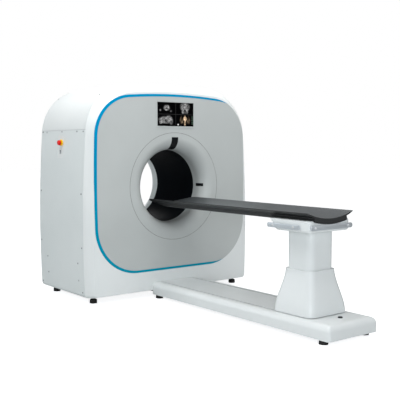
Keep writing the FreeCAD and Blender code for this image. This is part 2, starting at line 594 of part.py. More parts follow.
def rear_parts():
    back = GANTRY_DEPTH
    cover = domed_shell(REAR_BEVEL, lambda d: back - d, REAR_COVER_D, WALL)
    flange = BODY.prism(REAR_SEAM_D, REAR_SEAM_D + WALL, WALL - 0.5).cut(
        BODY.prism(REAR_SEAM_D - 1, REAR_SEAM_D + WALL + 1, HOOP_INSET + HOOP_T))
    cover = cover.fuse(flange).cut(rod(FUNNEL_R + FIT, (0, back - 20, ISO_Z), (0, back + 5, ISO_Z)))
    slots = []
    count = int((2 * FAN_HALF - 30) / VENT_PITCH)
    for k in range(count):
        x = (k - (count - 1) / 2) * VENT_PITCH
        slots.append(box(x - VENT_SLOT_W / 2, x + VENT_SLOT_W / 2, back - 10, back + 5,
                         FAN_Z - VENT_HALF_H, FAN_Z + VENT_HALF_H))
    cover = cover.cut(Part.makeCompound(slots)).removeSplitter()
    sleeve = funnel(REAR_BELL_R, REAR_THROAT, WALL)
    sleeve.rotate(V(0, y(back / 2), ISO_Z), V(0, 0, 1), 180)

    d0, d1 = back - WALL - 30, back - WALL
    axle = lambda d: (0, d, FAN_Z)
    frame = box(-FAN_HALF, FAN_HALF, d0, d1, FAN_Z - FAN_HALF, FAN_Z + FAN_HALF)
    frame = frame.cut(rod(73, axle(d0 - 1), axle(d1 + 1)))
    arms = [box(-74, 74, d0, d0 + 3, FAN_Z - 6, FAN_Z + 6), box(-6, 6, d0, d0 + 3, FAN_Z - 74, FAN_Z + 74)]
    frame = fuse([frame] + arms + [rod(20, axle(d0), axle(d0 + 5)), rod(4, axle(d0), axle(d0 + 24))])
    hub = tube(20, 4 + RUN, axle(d0 + 5.3), axle(d0 + 26))
    blades = []
    for k in range(7):
        blade = Part.makeBox(50, 1.8, 19, V(18, -0.9, -9.5))
        blade.rotate(V(0, 0, 0), V(1, 0, 0), 52)
        blade.rotate(V(0, 0, 0), V(0, 1, 0), 360.0 / 7 * k)
        blade.translate(V(0, y(d0 + 15.5), FAN_Z))
        blades.append(blade)
    fan = fuse([hub] + [b.cut(rod(4 + RUN, axle(d0), axle(d1))) for b in blades])
    return {"rear_cover": [cover], "rear_funnel": [sleeve], "fan_frame": [frame], "fan_rotor": [fan]}


# ---------------------------------------------------------------- rotating ring and its drive
DRUM_R, DRUM_IN_R, DRUM_D = 680.0, 330.0, (282.0, 300.0)
RIM_D = (282.0, 322.0)
HUB_R = (380.0, 395.0)
HUB_END_D = 480.0
BALL_R, BALLS = 9.0, 36
SOURCE_R = 500.0             # radius of the X-ray focus about the bore's axis
FOCUS_TO_DETECTOR = 940.0
FAN_ANGLE = 27.0
MOTOR_X, MOTOR_Z = 600.0, 210.0
PULLEY_R = 45.0
BELT_T, BELT_W = 6.0, 30.0


def belt_loop(c0, r0, c1, r1, lift):
    """Wire in the XZ plane round two pulleys, lifted off their rims."""
    r0, r1 = r0 + lift, r1 + lift
    dx, dz = c1[0] - c0[0], c1[1] - c0[1]
    base, gap = math.atan2(dz, dx), math.hypot(dx, dz)
    spread = math.acos((r0 - r1) / gap)

    def at(c, r, turn):
        return V(c[0] + r * math.cos(turn), 0, c[1] + r * math.sin(turn))

    a, b = base + spread, base - spread
    return Part.Wire([
        Part.makeLine(at(c0, r0, a), at(c1, r1, a)), arc(at(c1, r1, a), at(c1, r1, base), at(c1, r1, b)),
        Part.makeLine(at(c1, r1, b), at(c0, r0, b)),
        arc(at(c0, r0, b), at(c0, r0, base + math.pi), at(c0, r0, a))])


def belt(c0, r0, c1, r1, thickness, width):
    outer = Part.Face(belt_loop(c0, r0, c1, r1, FIT + thickness)).extrude(V(0, width, 0))
    return outer.cut(Part.Face(belt_loop(c0, r0, c1, r1, FIT)).extrude(V(0, width, 0)))


def rotor_parts():
    face = DRUM_D[0]
    drum = fuse([ring(DRUM_R, DRUM_IN_R, *DRUM_D), ring(DRUM_R, DRUM_R - 18, *RIM_D),
                 ring(HUB_R[1], HUB_R[0], DRUM_D[1], HUB_END_D)])
    groove_d = sum(BEARING_D) / 2
    track = BEARING_MID_R - FIT / 2
    torus = Part.makeTorus(track, BALL_R + FIT, V(0, y(groove_d), ISO_Z), V(0, 1, 0))
    outer = ring(BEARING_OUT_R, BEARING_MID_R, *BEARING_D).cut(torus)
    inner = ring(BEARING_MID_R - FIT, BEARING_IN_R, *BEARING_D).cut(torus)
    balls = []
    for k in range(BALLS):
        turn = 2 * math.pi * k / BALLS
        balls.append(Part.makeSphere(BALL_R, V(track * math.cos(turn), y(groove_d),
                                               ISO_Z + track * math.sin(turn))))
    slip = ring(470, HUB_R[1], 440, 470)
    for k in range(4):
        slip = slip.cut(ring(471, 466, 444 + 6 * k, 446 + 6 * k))
    focus_z = ISO_Z + SOURCE_R
    source = fuse([rod(85, (0, 165, focus_z), (0, face, focus_z)),
                   rod(40, (0, 150, focus_z), (0, 165, focus_z)),
                   box(-60, 60, 200, face, focus_z - 85, focus_z - 60)])
    collimator = box(-60, 60, 190, face, ISO_Z + 335, focus_z - 85).cut(
        box(-45, 45, 215, 235, ISO_Z + 330, focus_z - 80))
    array = tube(FOCUS_TO_DETECTOR + 60, FOCUS_TO_DETECTOR, (0, 190, focus_z), (0, face, focus_z))
    reach = 1500.0
    wedge = prism_y([(0, focus_z), (-reach * math.sin(math.radians(FAN_ANGLE)),
                                    focus_z - reach * math.cos(math.radians(FAN_ANGLE))),
                     (reach * math.sin(math.radians(FAN_ANGLE)),
                      focus_z - reach * math.cos(math.radians(FAN_ANGLE)))], 180, face + 1)
    array = array.common(wedge)
    generator = box(400, 600, 180, face, ISO_Z - 40, ISO_Z + 200)
    cooler = box(-600, -400, 180, face, ISO_Z - 40, ISO_Z + 200)
    fins = [box(-590, -410, 175, 240, ISO_Z - 30 + 12 * k, ISO_Z - 24 + 12 * k) for k in range(19)]
    cooler = cooler.cut(Part.makeCompound(fins))

    centre, motor = (0, ISO_Z), (MOTOR_X, MOTOR_Z)
    loop = belt(centre, DRUM_R, motor, PULLEY_R, BELT_T, BELT_W)
    loop.translate(V(0, y(RIM_D[0] + 5), 0))
    shaft = lambda d: (MOTOR_X, d, MOTOR_Z)
    pulley = fuse([rod(PULLEY_R, shaft(RIM_D[0]), shaft(RIM_D[1])), rod(12, shaft(RIM_D[1]), shaft(370))])
    casing = fuse([rod(60, shaft(330), shaft(PLATE_D[0])),
                   box(MOTOR_X - 40, MOTOR_X + 40, 330, PLATE_D[0], FRAME_Z1, MOTOR_Z)])
    casing = casing.cut(rod(12 + RUN, shaft(320), shaft(371)))
    brush = box(-50, 50, PLATE_D[1], 480, ISO_Z - 560, ISO_Z - 470 - 2 * FIT)
    return {"rotor_drum": [drum], "bearing_outer_ring": [outer], "bearing_inner_ring": [inner],
            "bearing_balls": balls, "slip_ring": [slip], "xray_source": [source],
            "collimator": [collimator], "detector_array": [array], "generator": [generator],
            "heat_exchanger": [cooler], "drive_belt": [loop], "motor_pulley": [pulley],
            "drive_motor": [casing], "brush_block": [brush]}


# ---------------------------------------------------------------- floor base of the table
SLAB_END_R, SLAB_TOP_R = 24.0, 39.0
SLAB_FOOT_X, SLAB_FOOT_D = 184.0, (-40.0, -1749.0)
CHASSIS_Z = (30.0, 38.0)
RAIL_X, RAIL_W, RAIL_Z = 110.0, 20.0, (48.0, 68.0)
GROOVE_X, GROOVE_W = 151.0, 14.0
LEG_T = 8.0
CARRIAGE_HALF = 135.0
CARRIAGE_Z = (82.0, 96.0)
COLUMN_BASE_Z = (124.0, 134.0)
PLUG_X, PLUG_D, PLUG_R, PLUG_T = 14.0, -1702.0, 15.0, 7.0
BELT_Z, TABLE_PULLEY_R = 62.0, 14.0
DRIVE_D, IDLER_D = -75.0, -1780.0
TABLE_BELT_T, TABLE_BELT_HALF_W = 2.0, 10.0
SHAFT_R = 5.0


def slab_block(shrink, z0, z1):
    """Block of the floor base; its rounded top edges meet at the free end in softened mitres."""
    end, half = -TABLE_REACH + shrink, SLAB_HALF_W - shrink
    solid = box(-half, half, end, 60, z0, z1)
    top = [e for e in solid.Edges if abs(e.BoundBox.ZMin - z1) < 1e-3 and abs(e.BoundBox.ZMax - z1) < 1e-3
           and e.BoundBox.YMin < y(-1)]
    solid = solid.makeFillet(SLAB_TOP_R - shrink, top)
    corners = [e for e in solid.Edges if e.BoundBox.YMax < y(end + SLAB_TOP_R) and e.BoundBox.ZLength > 10
               and e.BoundBox.XLength < half]
    return solid.makeFillet(SLAB_END_R - shrink, corners)


def slab_parts():
    shell = slab_block(0, SLAB_BOTTOM_Z, SLAB_TOP_Z)
    shell = shell.cut(slab_block(WALL, SLAB_BOTTOM_Z - 20, SLAB_TOP_Z - WALL))
    shell = shell.cut(box(-300, 300, -0.5 - STRIPE_PROUD, 100, 0, 200))
    groove_start = COLUMN_D - CARRIAGE_HALF + 3
    grooves = [plate(side * GROOVE_X - GROOVE_W / 2, side * GROOVE_X + GROOVE_W / 2, groove_start, -14,
                     SLAB_TOP_Z - 20, SLAB_TOP_Z + 5, [GROOVE_W / 2 - 0.01] * 4) for side in (-1, 1)]
    plug_at = lambda z: (PLUG_X, PLUG_D, z)
    shell = shell.cut(Part.makeCompound(grooves + [rod(PLUG_R - 2, plug_at(100), plug_at(130))]))
    plug = fuse([rod(PLUG_R, plug_at(SLAB_TOP_Z), plug_at(SLAB_TOP_Z + PLUG_T)),
                 rod(PLUG_R - 2 - RUN, plug_at(SLAB_TOP_Z - 8), plug_at(SLAB_TOP_Z))])

    pan = plate(-204, 204, -TABLE_REACH + 14, FOOT_D[0] + 25, *CHASSIS_Z, [44, 44, 1, 1])
    notch = [box(s0, s1, 2, 200, 0, 60) for s0, s1 in ((-300, -160), (160, 300))]
    webs = [box(s * 196 - 4, s * 196 + 4, -TABLE_REACH + 60, -6, CHASSIS_Z[1], 60) for s in (-1, 1)]
    beams = [box(s * RAIL_X - 12, s * RAIL_X + 12, COLUMN_D - 150, COLUMN_D + TRAVEL + 150,
                 CHASSIS_Z[1], RAIL_Z[0]) for s in (-1, 1)]
    tie = box(-150, 150, FOOT_D[0] - 20, FOOT_D[0] + 20, CHASSIS_Z[1], FRAME_Z0)
    stands = [box(x0, x0 + 8, d - 12, d + 12, CHASSIS_Z[1], BELT_Z + 12)
              for x0, d in ((-24, DRIVE_D), (-24, IDLER_D), (16, IDLER_D))]
    cradle = box(30, 120, DRIVE_D - 18, DRIVE_D + 18, CHASSIS_Z[1], BELT_Z - 14)
    chassis = fuse([pan] + webs + beams + [tie] + stands + [cradle]).cut(Part.makeCompound(notch))
    brackets = []
    for side in (-1, 1):
        for d in (-60, -500, -1000, -TABLE_REACH + 120):
            x0, x1 = sorted((side * 200, side * (SLAB_HALF_W - WALL - FIT)))
            brackets.append(box(x0, x1, d - 20, d + 20, CHASSIS_Z[1], 58))
    chassis = fuse([chassis] + brackets)
    holes = [rod(6.0 + FIT, (s * SLAB_FOOT_X, d, 0), (s * SLAB_FOOT_X, d, 100))
             for s in (-1, 1) for d in SLAB_FOOT_D]
    axle = lambda x, d: (x, d, BELT_Z)
    bores = [rod(SHAFT_R + RUN, axle(-30, DRIVE_D), axle(-10, DRIVE_D)),
             rod(SHAFT_R + RUN, axle(-30, IDLER_D), axle(30, IDLER_D)),
             rod(22.0 + RUN, axle(25, DRIVE_D), axle(125, DRIVE_D))]
    chassis = chassis.cut(Part.makeCompound(holes + bores))
    rails = [box(s * RAIL_X - RAIL_W / 2, s * RAIL_X + RAIL_W / 2, COLUMN_D - 150, COLUMN_D + TRAVEL + 150,
                 *RAIL_Z) for s in (-1, 1)]

    motor = tube(22.0, SHAFT_R + RUN, axle(14, DRIVE_D), axle(50, DRIVE_D))
    motor = motor.fuse(rod(22.0, axle(50, DRIVE_D), axle(130, DRIVE_D))).removeSplitter()
    drive = fuse([rod(TABLE_PULLEY_R, axle(-11, DRIVE_D), axle(11, DRIVE_D)),
                  rod(SHAFT_R, axle(-24, DRIVE_D), axle(48, DRIVE_D))])
    idler = fuse([rod(TABLE_PULLEY_R, axle(-11, IDLER_D), axle(11, IDLER_D)),
                  rod(SHAFT_R, axle(-24, IDLER_D), axle(24, IDLER_D))])
    loop = belt((0, 0), TABLE_PULLEY_R, (DRIVE_D - IDLER_D, 0), TABLE_PULLEY_R, TABLE_BELT_T,
                2 * TABLE_BELT_HALF_W)
    loop.rotate(V(0, 0, 0), V(0, 0, 1), 90)
    loop.translate(V(TABLE_BELT_HALF_W, y(IDLER_D), BELT_Z))
    return {"slab_cover": [shell], "slab_plug": [plug], "slab_chassis": [chassis], "linear_rails": rails,
            "table_motor": [motor], "table_drive_pulley": [drive], "table_idler_pulley": [idler],
            "table_belt": [loop]}


# ---------------------------------------------------------------- carriage, column and lift
MAST_HALF, MAST_T = 62.0, 6.0
MAST_TOP_Z = HEAD_Z0 - LOWER - 14.0
LIFT_HALF, LIFT_T = MAST_HALF - MAST_T - 0.5, 5.0
SLEEVE_HALF, SLEEVE_T, SLEEVE_CORNER = 109.0, 3.0, 46.0
SKIRT_TOP_Z, SKIRT_WALL = 400.0, 5.0
SKIRT_LIP = 1.2              # gap between the sleeve and the skirt's mouth
SKIRT_SECTIONS = [(125.0, 171.5), (162.0, 170.0), (205.0, 162.5), (250.0, 151.5), (300.0, 139.0),
                  (350.0, 128.0), (SKIRT_TOP_Z, 121.5)]     # height and half width


def square_wire(half, corner, z):
    return rounded_rectangle(-half, half, y(COLUMN_D) - half, y(COLUMN_D) + half, z, [corner] * 4)


def square_post(half, corner, z0, z1):
    return Part.Face(square_wire(half, corner, z0)).extrude(V(0, 0, z1 - z0))


def carriage_parts():
    d0, d1 = COLUMN_D - CARRIAGE_HALF, COLUMN_D + CARRIAGE_HALF
    blocks = []
    for side in (-1, 1):
        for d in (COLUMN_D - 95, COLUMN_D + 95):
            block = box(side * RAIL_X - 22, side * RAIL_X + 22, d - 30, d + 30, 53, CARRIAGE_Z[0])
            blocks.append(block.cut(box(side * RAIL_X - RAIL_W / 2 - FIT, side * RAIL_X + RAIL_W / 2 + FIT,
                                        d - 31, d + 31, 50, RAIL_Z[1] + FIT)))
    deck = box(-165, 165, d0, d1, *CARRIAGE_Z)
    legs = [box(s * GROOVE_X - LEG_T / 2, s * GROOVE_X + LEG_T / 2, COLUMN_D - 120, COLUMN_D + 120,
                CARRIAGE_Z[1], COLUMN_BASE_Z[0]) for s in (-1, 1)]
    run_z = BELT_Z + TABLE_PULLEY_R
    clamp = box(-15, 15, COLUMN_D - 30, COLUMN_D + 30, run_z - 6, CARRIAGE_Z[0])
    clamp = clamp.cut(box(-TABLE_BELT_HALF_W - FIT, 20, COLUMN_D - 40, COLUMN_D + 40,
                          run_z, run_z + TABLE_BELT_T + 2 * FIT))
    half = SKIRT_SECTIONS[0][1] - SKIRT_WALL - 2 * FIT
    base = square_post(half, 45.0, *COLUMN_BASE_Z)
    carriage = fuse([deck, clamp, base] + legs)

    mast = square_post(MAST_HALF, 8, COLUMN_BASE_Z[1], MAST_TOP_Z).cut(
        square_post(MAST_HALF - MAST_T, 2, COLUMN_BASE_Z[1] - 1, MAST_TOP_Z + 1))
    outer = Part.makeLoft([square_wire(h, 50.0, z) for z, h in SKIRT_SECTIONS], True, False)
    inner = Part.makeLoft([square_wire(h - SKIRT_WALL, 50.0 - SKIRT_WALL, z)
                           for z, h in [(SKIRT_SECTIONS[0][0] - 2, SKIRT_SECTIONS[0][1])]
                           + SKIRT_SECTIONS[1:-1] + [(SKIRT_TOP_Z - SKIRT_WALL, SKIRT_SECTIONS[-1][1] + 0.5)]],
                          True, False)
    mouth = square_post(SLEEVE_HALF + SKIRT_LIP, SLEEVE_CORNER + SKIRT_LIP, SKIRT_TOP_Z - 40, SKIRT_TOP_Z + 5)
    skirt = outer.cut(inner).cut(mouth)
    return {"rail_blocks": blocks, "carriage": [carriage], "column_mast": [mast], "column_skirt": [skirt]}


TOP_BODY_HALF_W = 143.0      # thick middle part of the patient top
TOP_DEPTH = 70.0             # lip to underside at the middle
TOP_SIDE_DEPTH = 53.0        # lip to the lower edge of the sides
LIP_T = 4.0
WING_DEPTH = 31.0            # lip to the root of the wings
TOP_START_D, TOP_NOSE_D, NOSE_LENGTH = -1631.0, 145.0, 150.0
NOSE_SECTIONS = [(-60.0, 0.0, 0.0), (5.0, 8.0, 8.0), (74.0, 20.0, 19.0)]   # depth, rise of sides, of keel
NOSE_RISE = (21.0, 22.0)     # the same at the tip
SADDLE_T = 4.0
SADDLE_D = (-1631.0, -1259.0)
RAIL_GAP, RAIL_T = 7.0, 9.0
RAIL_END_R = 11.0
END_RAIL_Z, SIDE_RAIL_Z = (661.0, 693.0), (660.0, 690.0)
SIDE_RAIL_D, SIDE_SCREW_D = (-1556.0, -1275.0), (-1506.0, -1326.0)
END_RAIL_HALF, END_SCREW_X = 186.0, 147.0
HEAD_D0, HEAD_D1 = -1627.0, -1271.0
SLEEVE_Z0 = SKIRT_TOP_Z - RAISE - 84.0    # the sleeve's lower edge stays inside the skirt


def underside_wire(drop, spread, z_side, depth):
    """Trough shape under the patient top: body sides and a curved bottom, offset outwards."""
    half = TOP_BODY_HALF_W + spread
    low, side_low = LIP_Z - TOP_DEPTH - drop, LIP_Z - TOP_SIDE_DEPTH - drop
    p = [V(-half, y(depth), z_side), V(-half, y(depth), side_low), V(0, y(depth), low),
         V(half, y(depth), side_low), V(half, y(depth), z_side)]
    return Part.Wire([Part.makeLine(p[0], p[1]), arc(p[1], p[2], p[3]), Part.makeLine(p[3], p[4]),
                      Part.makeLine(p[4], p[0])])


def trough(drop, spread, z_side, d0, d1):
    return Part.Face(underside_wire(drop, spread, z_side, d0)).extrude(V(0, d1 - d0, 0))


def top_section(depth, side_rise, keel_rise):
    """Cross-section of the patient top: dished above, winged lips, and a thick middle below."""
    def at(x, z):
        return V(x, y(depth), z)

    wing_z = LIP_Z - WING_DEPTH
    lip, edge, wing, wing_mid, side = [], [], [], [], []
    for s in (-1, 1):
        lip.append(at(s * TOP_HALF_W, LIP_Z))
        edge.append(at(s * TOP_HALF_W, LIP_Z - LIP_T))
        wing.append(at(s * TOP_BODY_HALF_W, wing_z))
        wing_mid.append(at(s * (TOP_BODY_HALF_W + 26), wing_z + 10.0))
        side.append(at(s * TOP_BODY_HALF_W, LIP_Z - TOP_SIDE_DEPTH + side_rise))
    keel = at(0, LIP_Z - TOP_DEPTH + keel_rise)
    return Part.Wire([
        arc(lip[0], at(0, LIP_Z - TOP_SAG), lip[1]), Part.makeLine(lip[1], edge[1]),
        arc(edge[1], wing_mid[1], wing[1]), Part.makeLine(wing[1], side[1]), arc(side[1], keel, side[0]),
        Part.makeLine(side[0], wing[0]), arc(wing[0], wing_mid[0], edge[0]), Part.makeLine(edge[0], lip[0])])


def patient_top():
    d0, d1 = TOP_START_D, TOP_NOSE_D
    stations = [(d0, 0.0, 0.0)] + NOSE_SECTIONS + [(d1 + 1.0, *NOSE_RISE)]
    bar = Part.makeLoft([top_section(*station) for station in stations], True, True)
    shoulder = (0.72, 0.32)
    nose = [V(TOP_HALF_W, y(d1 - NOSE_LENGTH), 0),
            V(shoulder[0] * TOP_HALF_W, y(d1 - shoulder[1] * NOSE_LENGTH), 0), V(0, y(d1), 0),
            V(-shoulder[0] * TOP_HALF_W, y(d1 - shoulder[1] * NOSE_LENGTH), 0),
            V(-TOP_HALF_W, y(d1 - NOSE_LENGTH), 0)]
    curve = Part.BSplineCurve()
    curve.interpolate(nose, InitialTangent=V(0, 1, 0), FinalTangent=V(0, -1, 0))
    start = [V(-TOP_HALF_W, y(d0), 0), V(TOP_HALF_W, y(d0), 0)]
    plan = Part.Wire([curve.toShape(), Part.makeLine(nose[-1], start[0]), Part.makeLine(start[0], start[1]),
                      Part.makeLine(start[1], nose[0])])
    return bar.common(Part.Face(plan).extrude(V(0, 0, LIP_Z + 100)))


def screw(start, end, head_r, head_h, shank_r):
    """Pan-head screw from its tip to the seat of its head, the head beyond."""
    a, b = V(start[0], start[1], start[2]), V(end[0], end[1], end[2])
    direction = (b - a).normalize()
    crown = b + direction * head_h
    return fuse([rod(shank_r, start, end), rod(head_r, end, (crown.x, crown.y, crown.z))])


def head_parts():
    saddle_low = SADDLE_T + FIT
    saddle = trough(SADDLE_T, SADDLE_T, LIP_Z - WING_DEPTH - SADDLE_T, *SADDLE_D).cut(
        trough(RUN, RUN, LIP_Z + 5, SADDLE_D[0] - 1, SADDLE_D[1] + 1))
    side_view = [(HEAD_D0, HEAD_Z0), (HEAD_D1 - 60, HEAD_Z0), (HEAD_D1 - 40, HEAD_Z0 + 37),
                 (HEAD_D1, HEAD_Z1), (HEAD_D0, HEAD_Z1)]
    plan = plate(-HEAD_HALF_W, HEAD_HALF_W, HEAD_D0, HEAD_D1 + 10, HEAD_Z0 - 5, HEAD_Z1 + 5, [35, 35, 14, 14])
    outer = prism_x(side_view, -HEAD_HALF_W - 5, HEAD_HALF_W + 5).common(plan)
    low = [e for e in outer.Edges if abs(e.BoundBox.ZMin - HEAD_Z0) < 1e-3 and e.BoundBox.ZLength < 1e-3]
    outer = outer.makeFillet(8.0, low)
    outer = outer.cut(trough(saddle_low, saddle_low, LIP_Z, HEAD_D0 - 10, HEAD_D1 + 10))
    w = WALL
    side_in = [(HEAD_D0 + w, HEAD_Z0 + w), (HEAD_D1 - 63 - w, HEAD_Z0 + w), (HEAD_D1 - 42 - w, HEAD_Z0 + 37),
               (HEAD_D1 - 8 - w, HEAD_Z1 - w), (HEAD_D0 + w, HEAD_Z1 - w)]
    plan_in = plate(-HEAD_HALF_W + w, HEAD_HALF_W - w, HEAD_D0 + w, HEAD_D1, HEAD_Z0, HEAD_Z1 + 5,
                    [31, 31, 10, 10])
    cavity = prism_x(side_in, -HEAD_HALF_W, HEAD_HALF_W).common(plan_in)
    cavity = cavity.cut(trough(saddle_low + w, saddle_low + w, LIP_Z, HEAD_D0, HEAD_D1))
    cover = outer.cut(cavity).cut(square_post(LIFT_HALF + 8, 20, HEAD_Z0 - 10, HEAD_Z0 + 10))

    sleeve = square_post(SLEEVE_HALF, SLEEVE_CORNER, SLEEVE_Z0, HEAD_Z0).cut(
        square_post(SLEEVE_HALF - SLEEVE_T, SLEEVE_CORNER - SLEEVE_T, SLEEVE_Z0 - 1, HEAD_Z0 + 1))
    plate_z = (HEAD_Z0 + w, HEAD_Z0 + w + 10)
    post = square_post(LIFT_HALF, 2, SLEEVE_Z0 + 4, plate_z[0]).cut(
        square_post(LIFT_HALF - LIFT_T, 1, SLEEVE_Z0, plate_z[0] - 8))
    rib_x = 100.0
    trough_r = ((TOP_BODY_HALF_W + saddle_low + w) ** 2) / (2.0 * (TOP_DEPTH - TOP_SIDE_DEPTH)) + saddle_low + w
    rib_top = LIP_Z - TOP_DEPTH - saddle_low - w - FIT + (rib_x - 4) ** 2 / (2 * trough_r)
    frame = fuse([box(-160, 160, HEAD_D0 + 20, HEAD_D1 - 75, *plate_z)]
                 + [box(s * rib_x - 4, s * rib_x + 4, HEAD_D0 + 20, HEAD_D1 - 75, plate_z[1], rib_top)
                    for s in (-1, 1)])

    bars, screws = [], []
    inner_x, outer_x = HEAD_HALF_W + RAIL_GAP, HEAD_HALF_W + RAIL_GAP + RAIL_T
    side_z = sum(SIDE_RAIL_Z) / 2
    for s in (-1, 1):
        x0, x1 = sorted((s * inner_x, s * outer_x))
        bar = rounded_bar(box(x0, x1, *SIDE_RAIL_D, *SIDE_RAIL_Z), is_along_x)
        feet = [rod(7.5, (s * HEAD_HALF_W, d, side_z), (s * (inner_x + 1), d, side_z)) for d in SIDE_SCREW_D]
        bar = fuse([bar] + feet)
        bars.append((bar, [((s * (HEAD_HALF_W - 10), d, side_z), (s * outer_x, d, side_z))
                           for d in SIDE_SCREW_D]))
    end_z = sum(END_RAIL_Z) / 2
    d_out = HEAD_D0 - RAIL_GAP - RAIL_T
    bar = box(-END_RAIL_HALF, END_RAIL_HALF, d_out, d_out + RAIL_T, *END_RAIL_Z)
    bar = rounded_bar(bar, is_along_y)
    feet = [rod(7.5, (s * END_SCREW_X, HEAD_D0, end_z), (s * END_SCREW_X, d_out + RAIL_T - 1, end_z))
            for s in (-1, 1)]
    bars.append((fuse([bar] + feet), [((s * END_SCREW_X, HEAD_D0 + 10, end_z),
                                       (s * END_SCREW_X, d_out, end_z)) for s in (-1, 1)]))
    rails = []
    for bar, places in bars:
        for start, end in places:
            bar = bar.cut(rod(3.0 + FIT, start, (2 * end[0] - start[0], 2 * end[1] - start[1], end[2])))
            cover = cover.cut(rod(3.0 + FIT, start, end))
            screws.append(screw(start, end, 7.0, 3.0, 3.0))
        rails.append(bar)
    return {"table_saddle": [saddle], "head_cover": [cover], "column_sleeve": [sleeve], "lift_tube": [post],
            "head_frame": [frame], "accessory_rails": rails, "rail_screws": screws,
            "tabletop": [patient_top()]}


# ---------------------------------------------------------------- write every node
def main():
    nodes = {}
    for group in (front_face_parts, frame_parts, cover_parts, switch_parts, rear_parts, rotor_parts,
                  slab_parts, carriage_parts, head_parts):
        nodes.update(group())
    nodes["cover_screws"] = cover_screws()
    os.makedirs("parts", exist_ok=True)
    total = FreeCAD.BoundBox()
    for name, solids in sorted(nodes.items()):
        flat = [s for shape in solids for s in shape.Solids]
        shape = flat[0] if len(flat) == 1 else Part.makeCompound(flat)
        shape.exportStep(os.path.join("parts", name + ".step"))
        total.add(shape.BoundBox)
        print(f"{name:22s} solids {len(flat):3d}  volume {shape.Volume / 1e6:9.3f} litres  valid {shape.isValid()}")
    print(len(nodes), "nodes; box", [round(v, 1) for v in (total.XMin, total.YMin, total.ZMin,
                                                           total.XMax, total.YMax, total.ZMax)])


main()
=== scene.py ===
# %% [markdown]
# # A ring scanner with its travelling table
# The machine is a box on feet with a round opening through it, and a slab on the floor that carries a
# column and a long dished table top. The mechanical parts arrive as a fixed frame. This script gives every
# surface its finish, and replaces the mouldings whose soft edges and small details need Blender's tools.

# %% Load the frame
import math
import bmesh
import bpy
from mathutils import Matrix, Vector


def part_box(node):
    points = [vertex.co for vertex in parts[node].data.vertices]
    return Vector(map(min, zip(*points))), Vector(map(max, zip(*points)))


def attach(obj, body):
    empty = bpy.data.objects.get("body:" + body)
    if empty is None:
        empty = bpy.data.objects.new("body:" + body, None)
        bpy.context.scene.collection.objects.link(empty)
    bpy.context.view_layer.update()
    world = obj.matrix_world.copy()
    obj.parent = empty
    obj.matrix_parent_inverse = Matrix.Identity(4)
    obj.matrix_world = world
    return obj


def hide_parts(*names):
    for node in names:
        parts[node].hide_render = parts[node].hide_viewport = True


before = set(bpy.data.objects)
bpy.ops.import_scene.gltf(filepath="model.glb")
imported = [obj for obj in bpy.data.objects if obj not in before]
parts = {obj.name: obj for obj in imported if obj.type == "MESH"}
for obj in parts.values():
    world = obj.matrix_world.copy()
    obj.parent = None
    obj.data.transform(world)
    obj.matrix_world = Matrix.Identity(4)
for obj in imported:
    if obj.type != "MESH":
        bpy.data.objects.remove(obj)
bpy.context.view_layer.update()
bpy.ops.object.select_all(action="DESELECT")
print("pieces in the frame:", len(parts))

# %% [markdown]
# ## The camera
# The machine is seen from its left front, a little above the table, with a long lens from a little over five
# metres away. The turn about Z, the small tilt down and a trace of roll are three rotations, multiplied.

# %% Place the camera
view = bpy.data.cameras.new("camera")
view.lens, view.sensor_width = 65.99, 36.0
camera = bpy.data.objects.new("camera", view)
camera.location = (-3.3710, -4.1861, 1.1595)
camera.rotation_euler = (Matrix.Rotation(math.radians(-37.69), 3, "Z")
                         @ Matrix.Rotation(math.radians(85.94), 3, "X")
                         @ Matrix.Rotation(math.radians(-0.12), 3, "Z")).to_euler()
bpy.context.scene.collection.objects.link(camera)
bpy.context.scene.camera = camera
print("camera", camera.location[:])

# %% [markdown]
# ## The studio
# A product studio wraps its subject in pale light: a floor that runs out of sight, a bright room, and a
# few large soft panels of light. Large panels give the covers slow shades and the floor a faint shadow. The
# room and the floor look white to the camera, but shed less light than that on the machine, or its own shades
# would wash out: a Light Path node tells the two apart.

# %% Floor, room and lights
bpy.ops.mesh.primitive_plane_add(size=60.0, location=(0, 0, 0))
floor = bpy.context.object
floor.name = "studio_floor"
bpy.ops.object.select_all(action="DESELECT")


def linear(code):
    """Turns an sRGB hex colour, such as "e8e9ea", into the linear colour that shaders use."""
    values = [int(code[i:i + 2], 16) / 255 for i in (0, 2, 4)]
    return tuple(v / 12.92 if v <= 0.04045 else ((v + 0.055) / 1.055) ** 2.4 for v in values) + (1.0,)


def fill(node, inputs):
    """Fills a node's sockets, each with a value or with a link from another node's output."""
    for socket, value in inputs.items():
        if isinstance(value, bpy.types.NodeSocket):
            node.id_data.links.new(value, node.inputs[socket])
        else:
            node.inputs[socket].default_value = value


def add(tree, kind, inputs, output=0, **settings):
    """Adds a node with its own settings, fills its sockets, and returns one of its outputs."""
    made = tree.nodes.new(kind)
    for name, value in settings.items():
        setattr(made, name, value)
    fill(made, inputs)
    return made.outputs[output]


def light_panel(name, place, target, size, power, colour="ffffff"):
    """A large soft panel of light, facing its target."""
    lamp = bpy.data.lights.new(name, "AREA")
    lamp.shape, lamp.size, lamp.size_y, lamp.energy = "RECTANGLE", size[0], size[1], power
    lamp.color = linear(colour)[:3]
    made = bpy.data.objects.new(name, lamp)
    made.location = place
    made.rotation_euler = (Vector(target) - Vector(place)).to_track_quat("-Z", "Y").to_euler()
    bpy.context.scene.collection.objects.link(made)


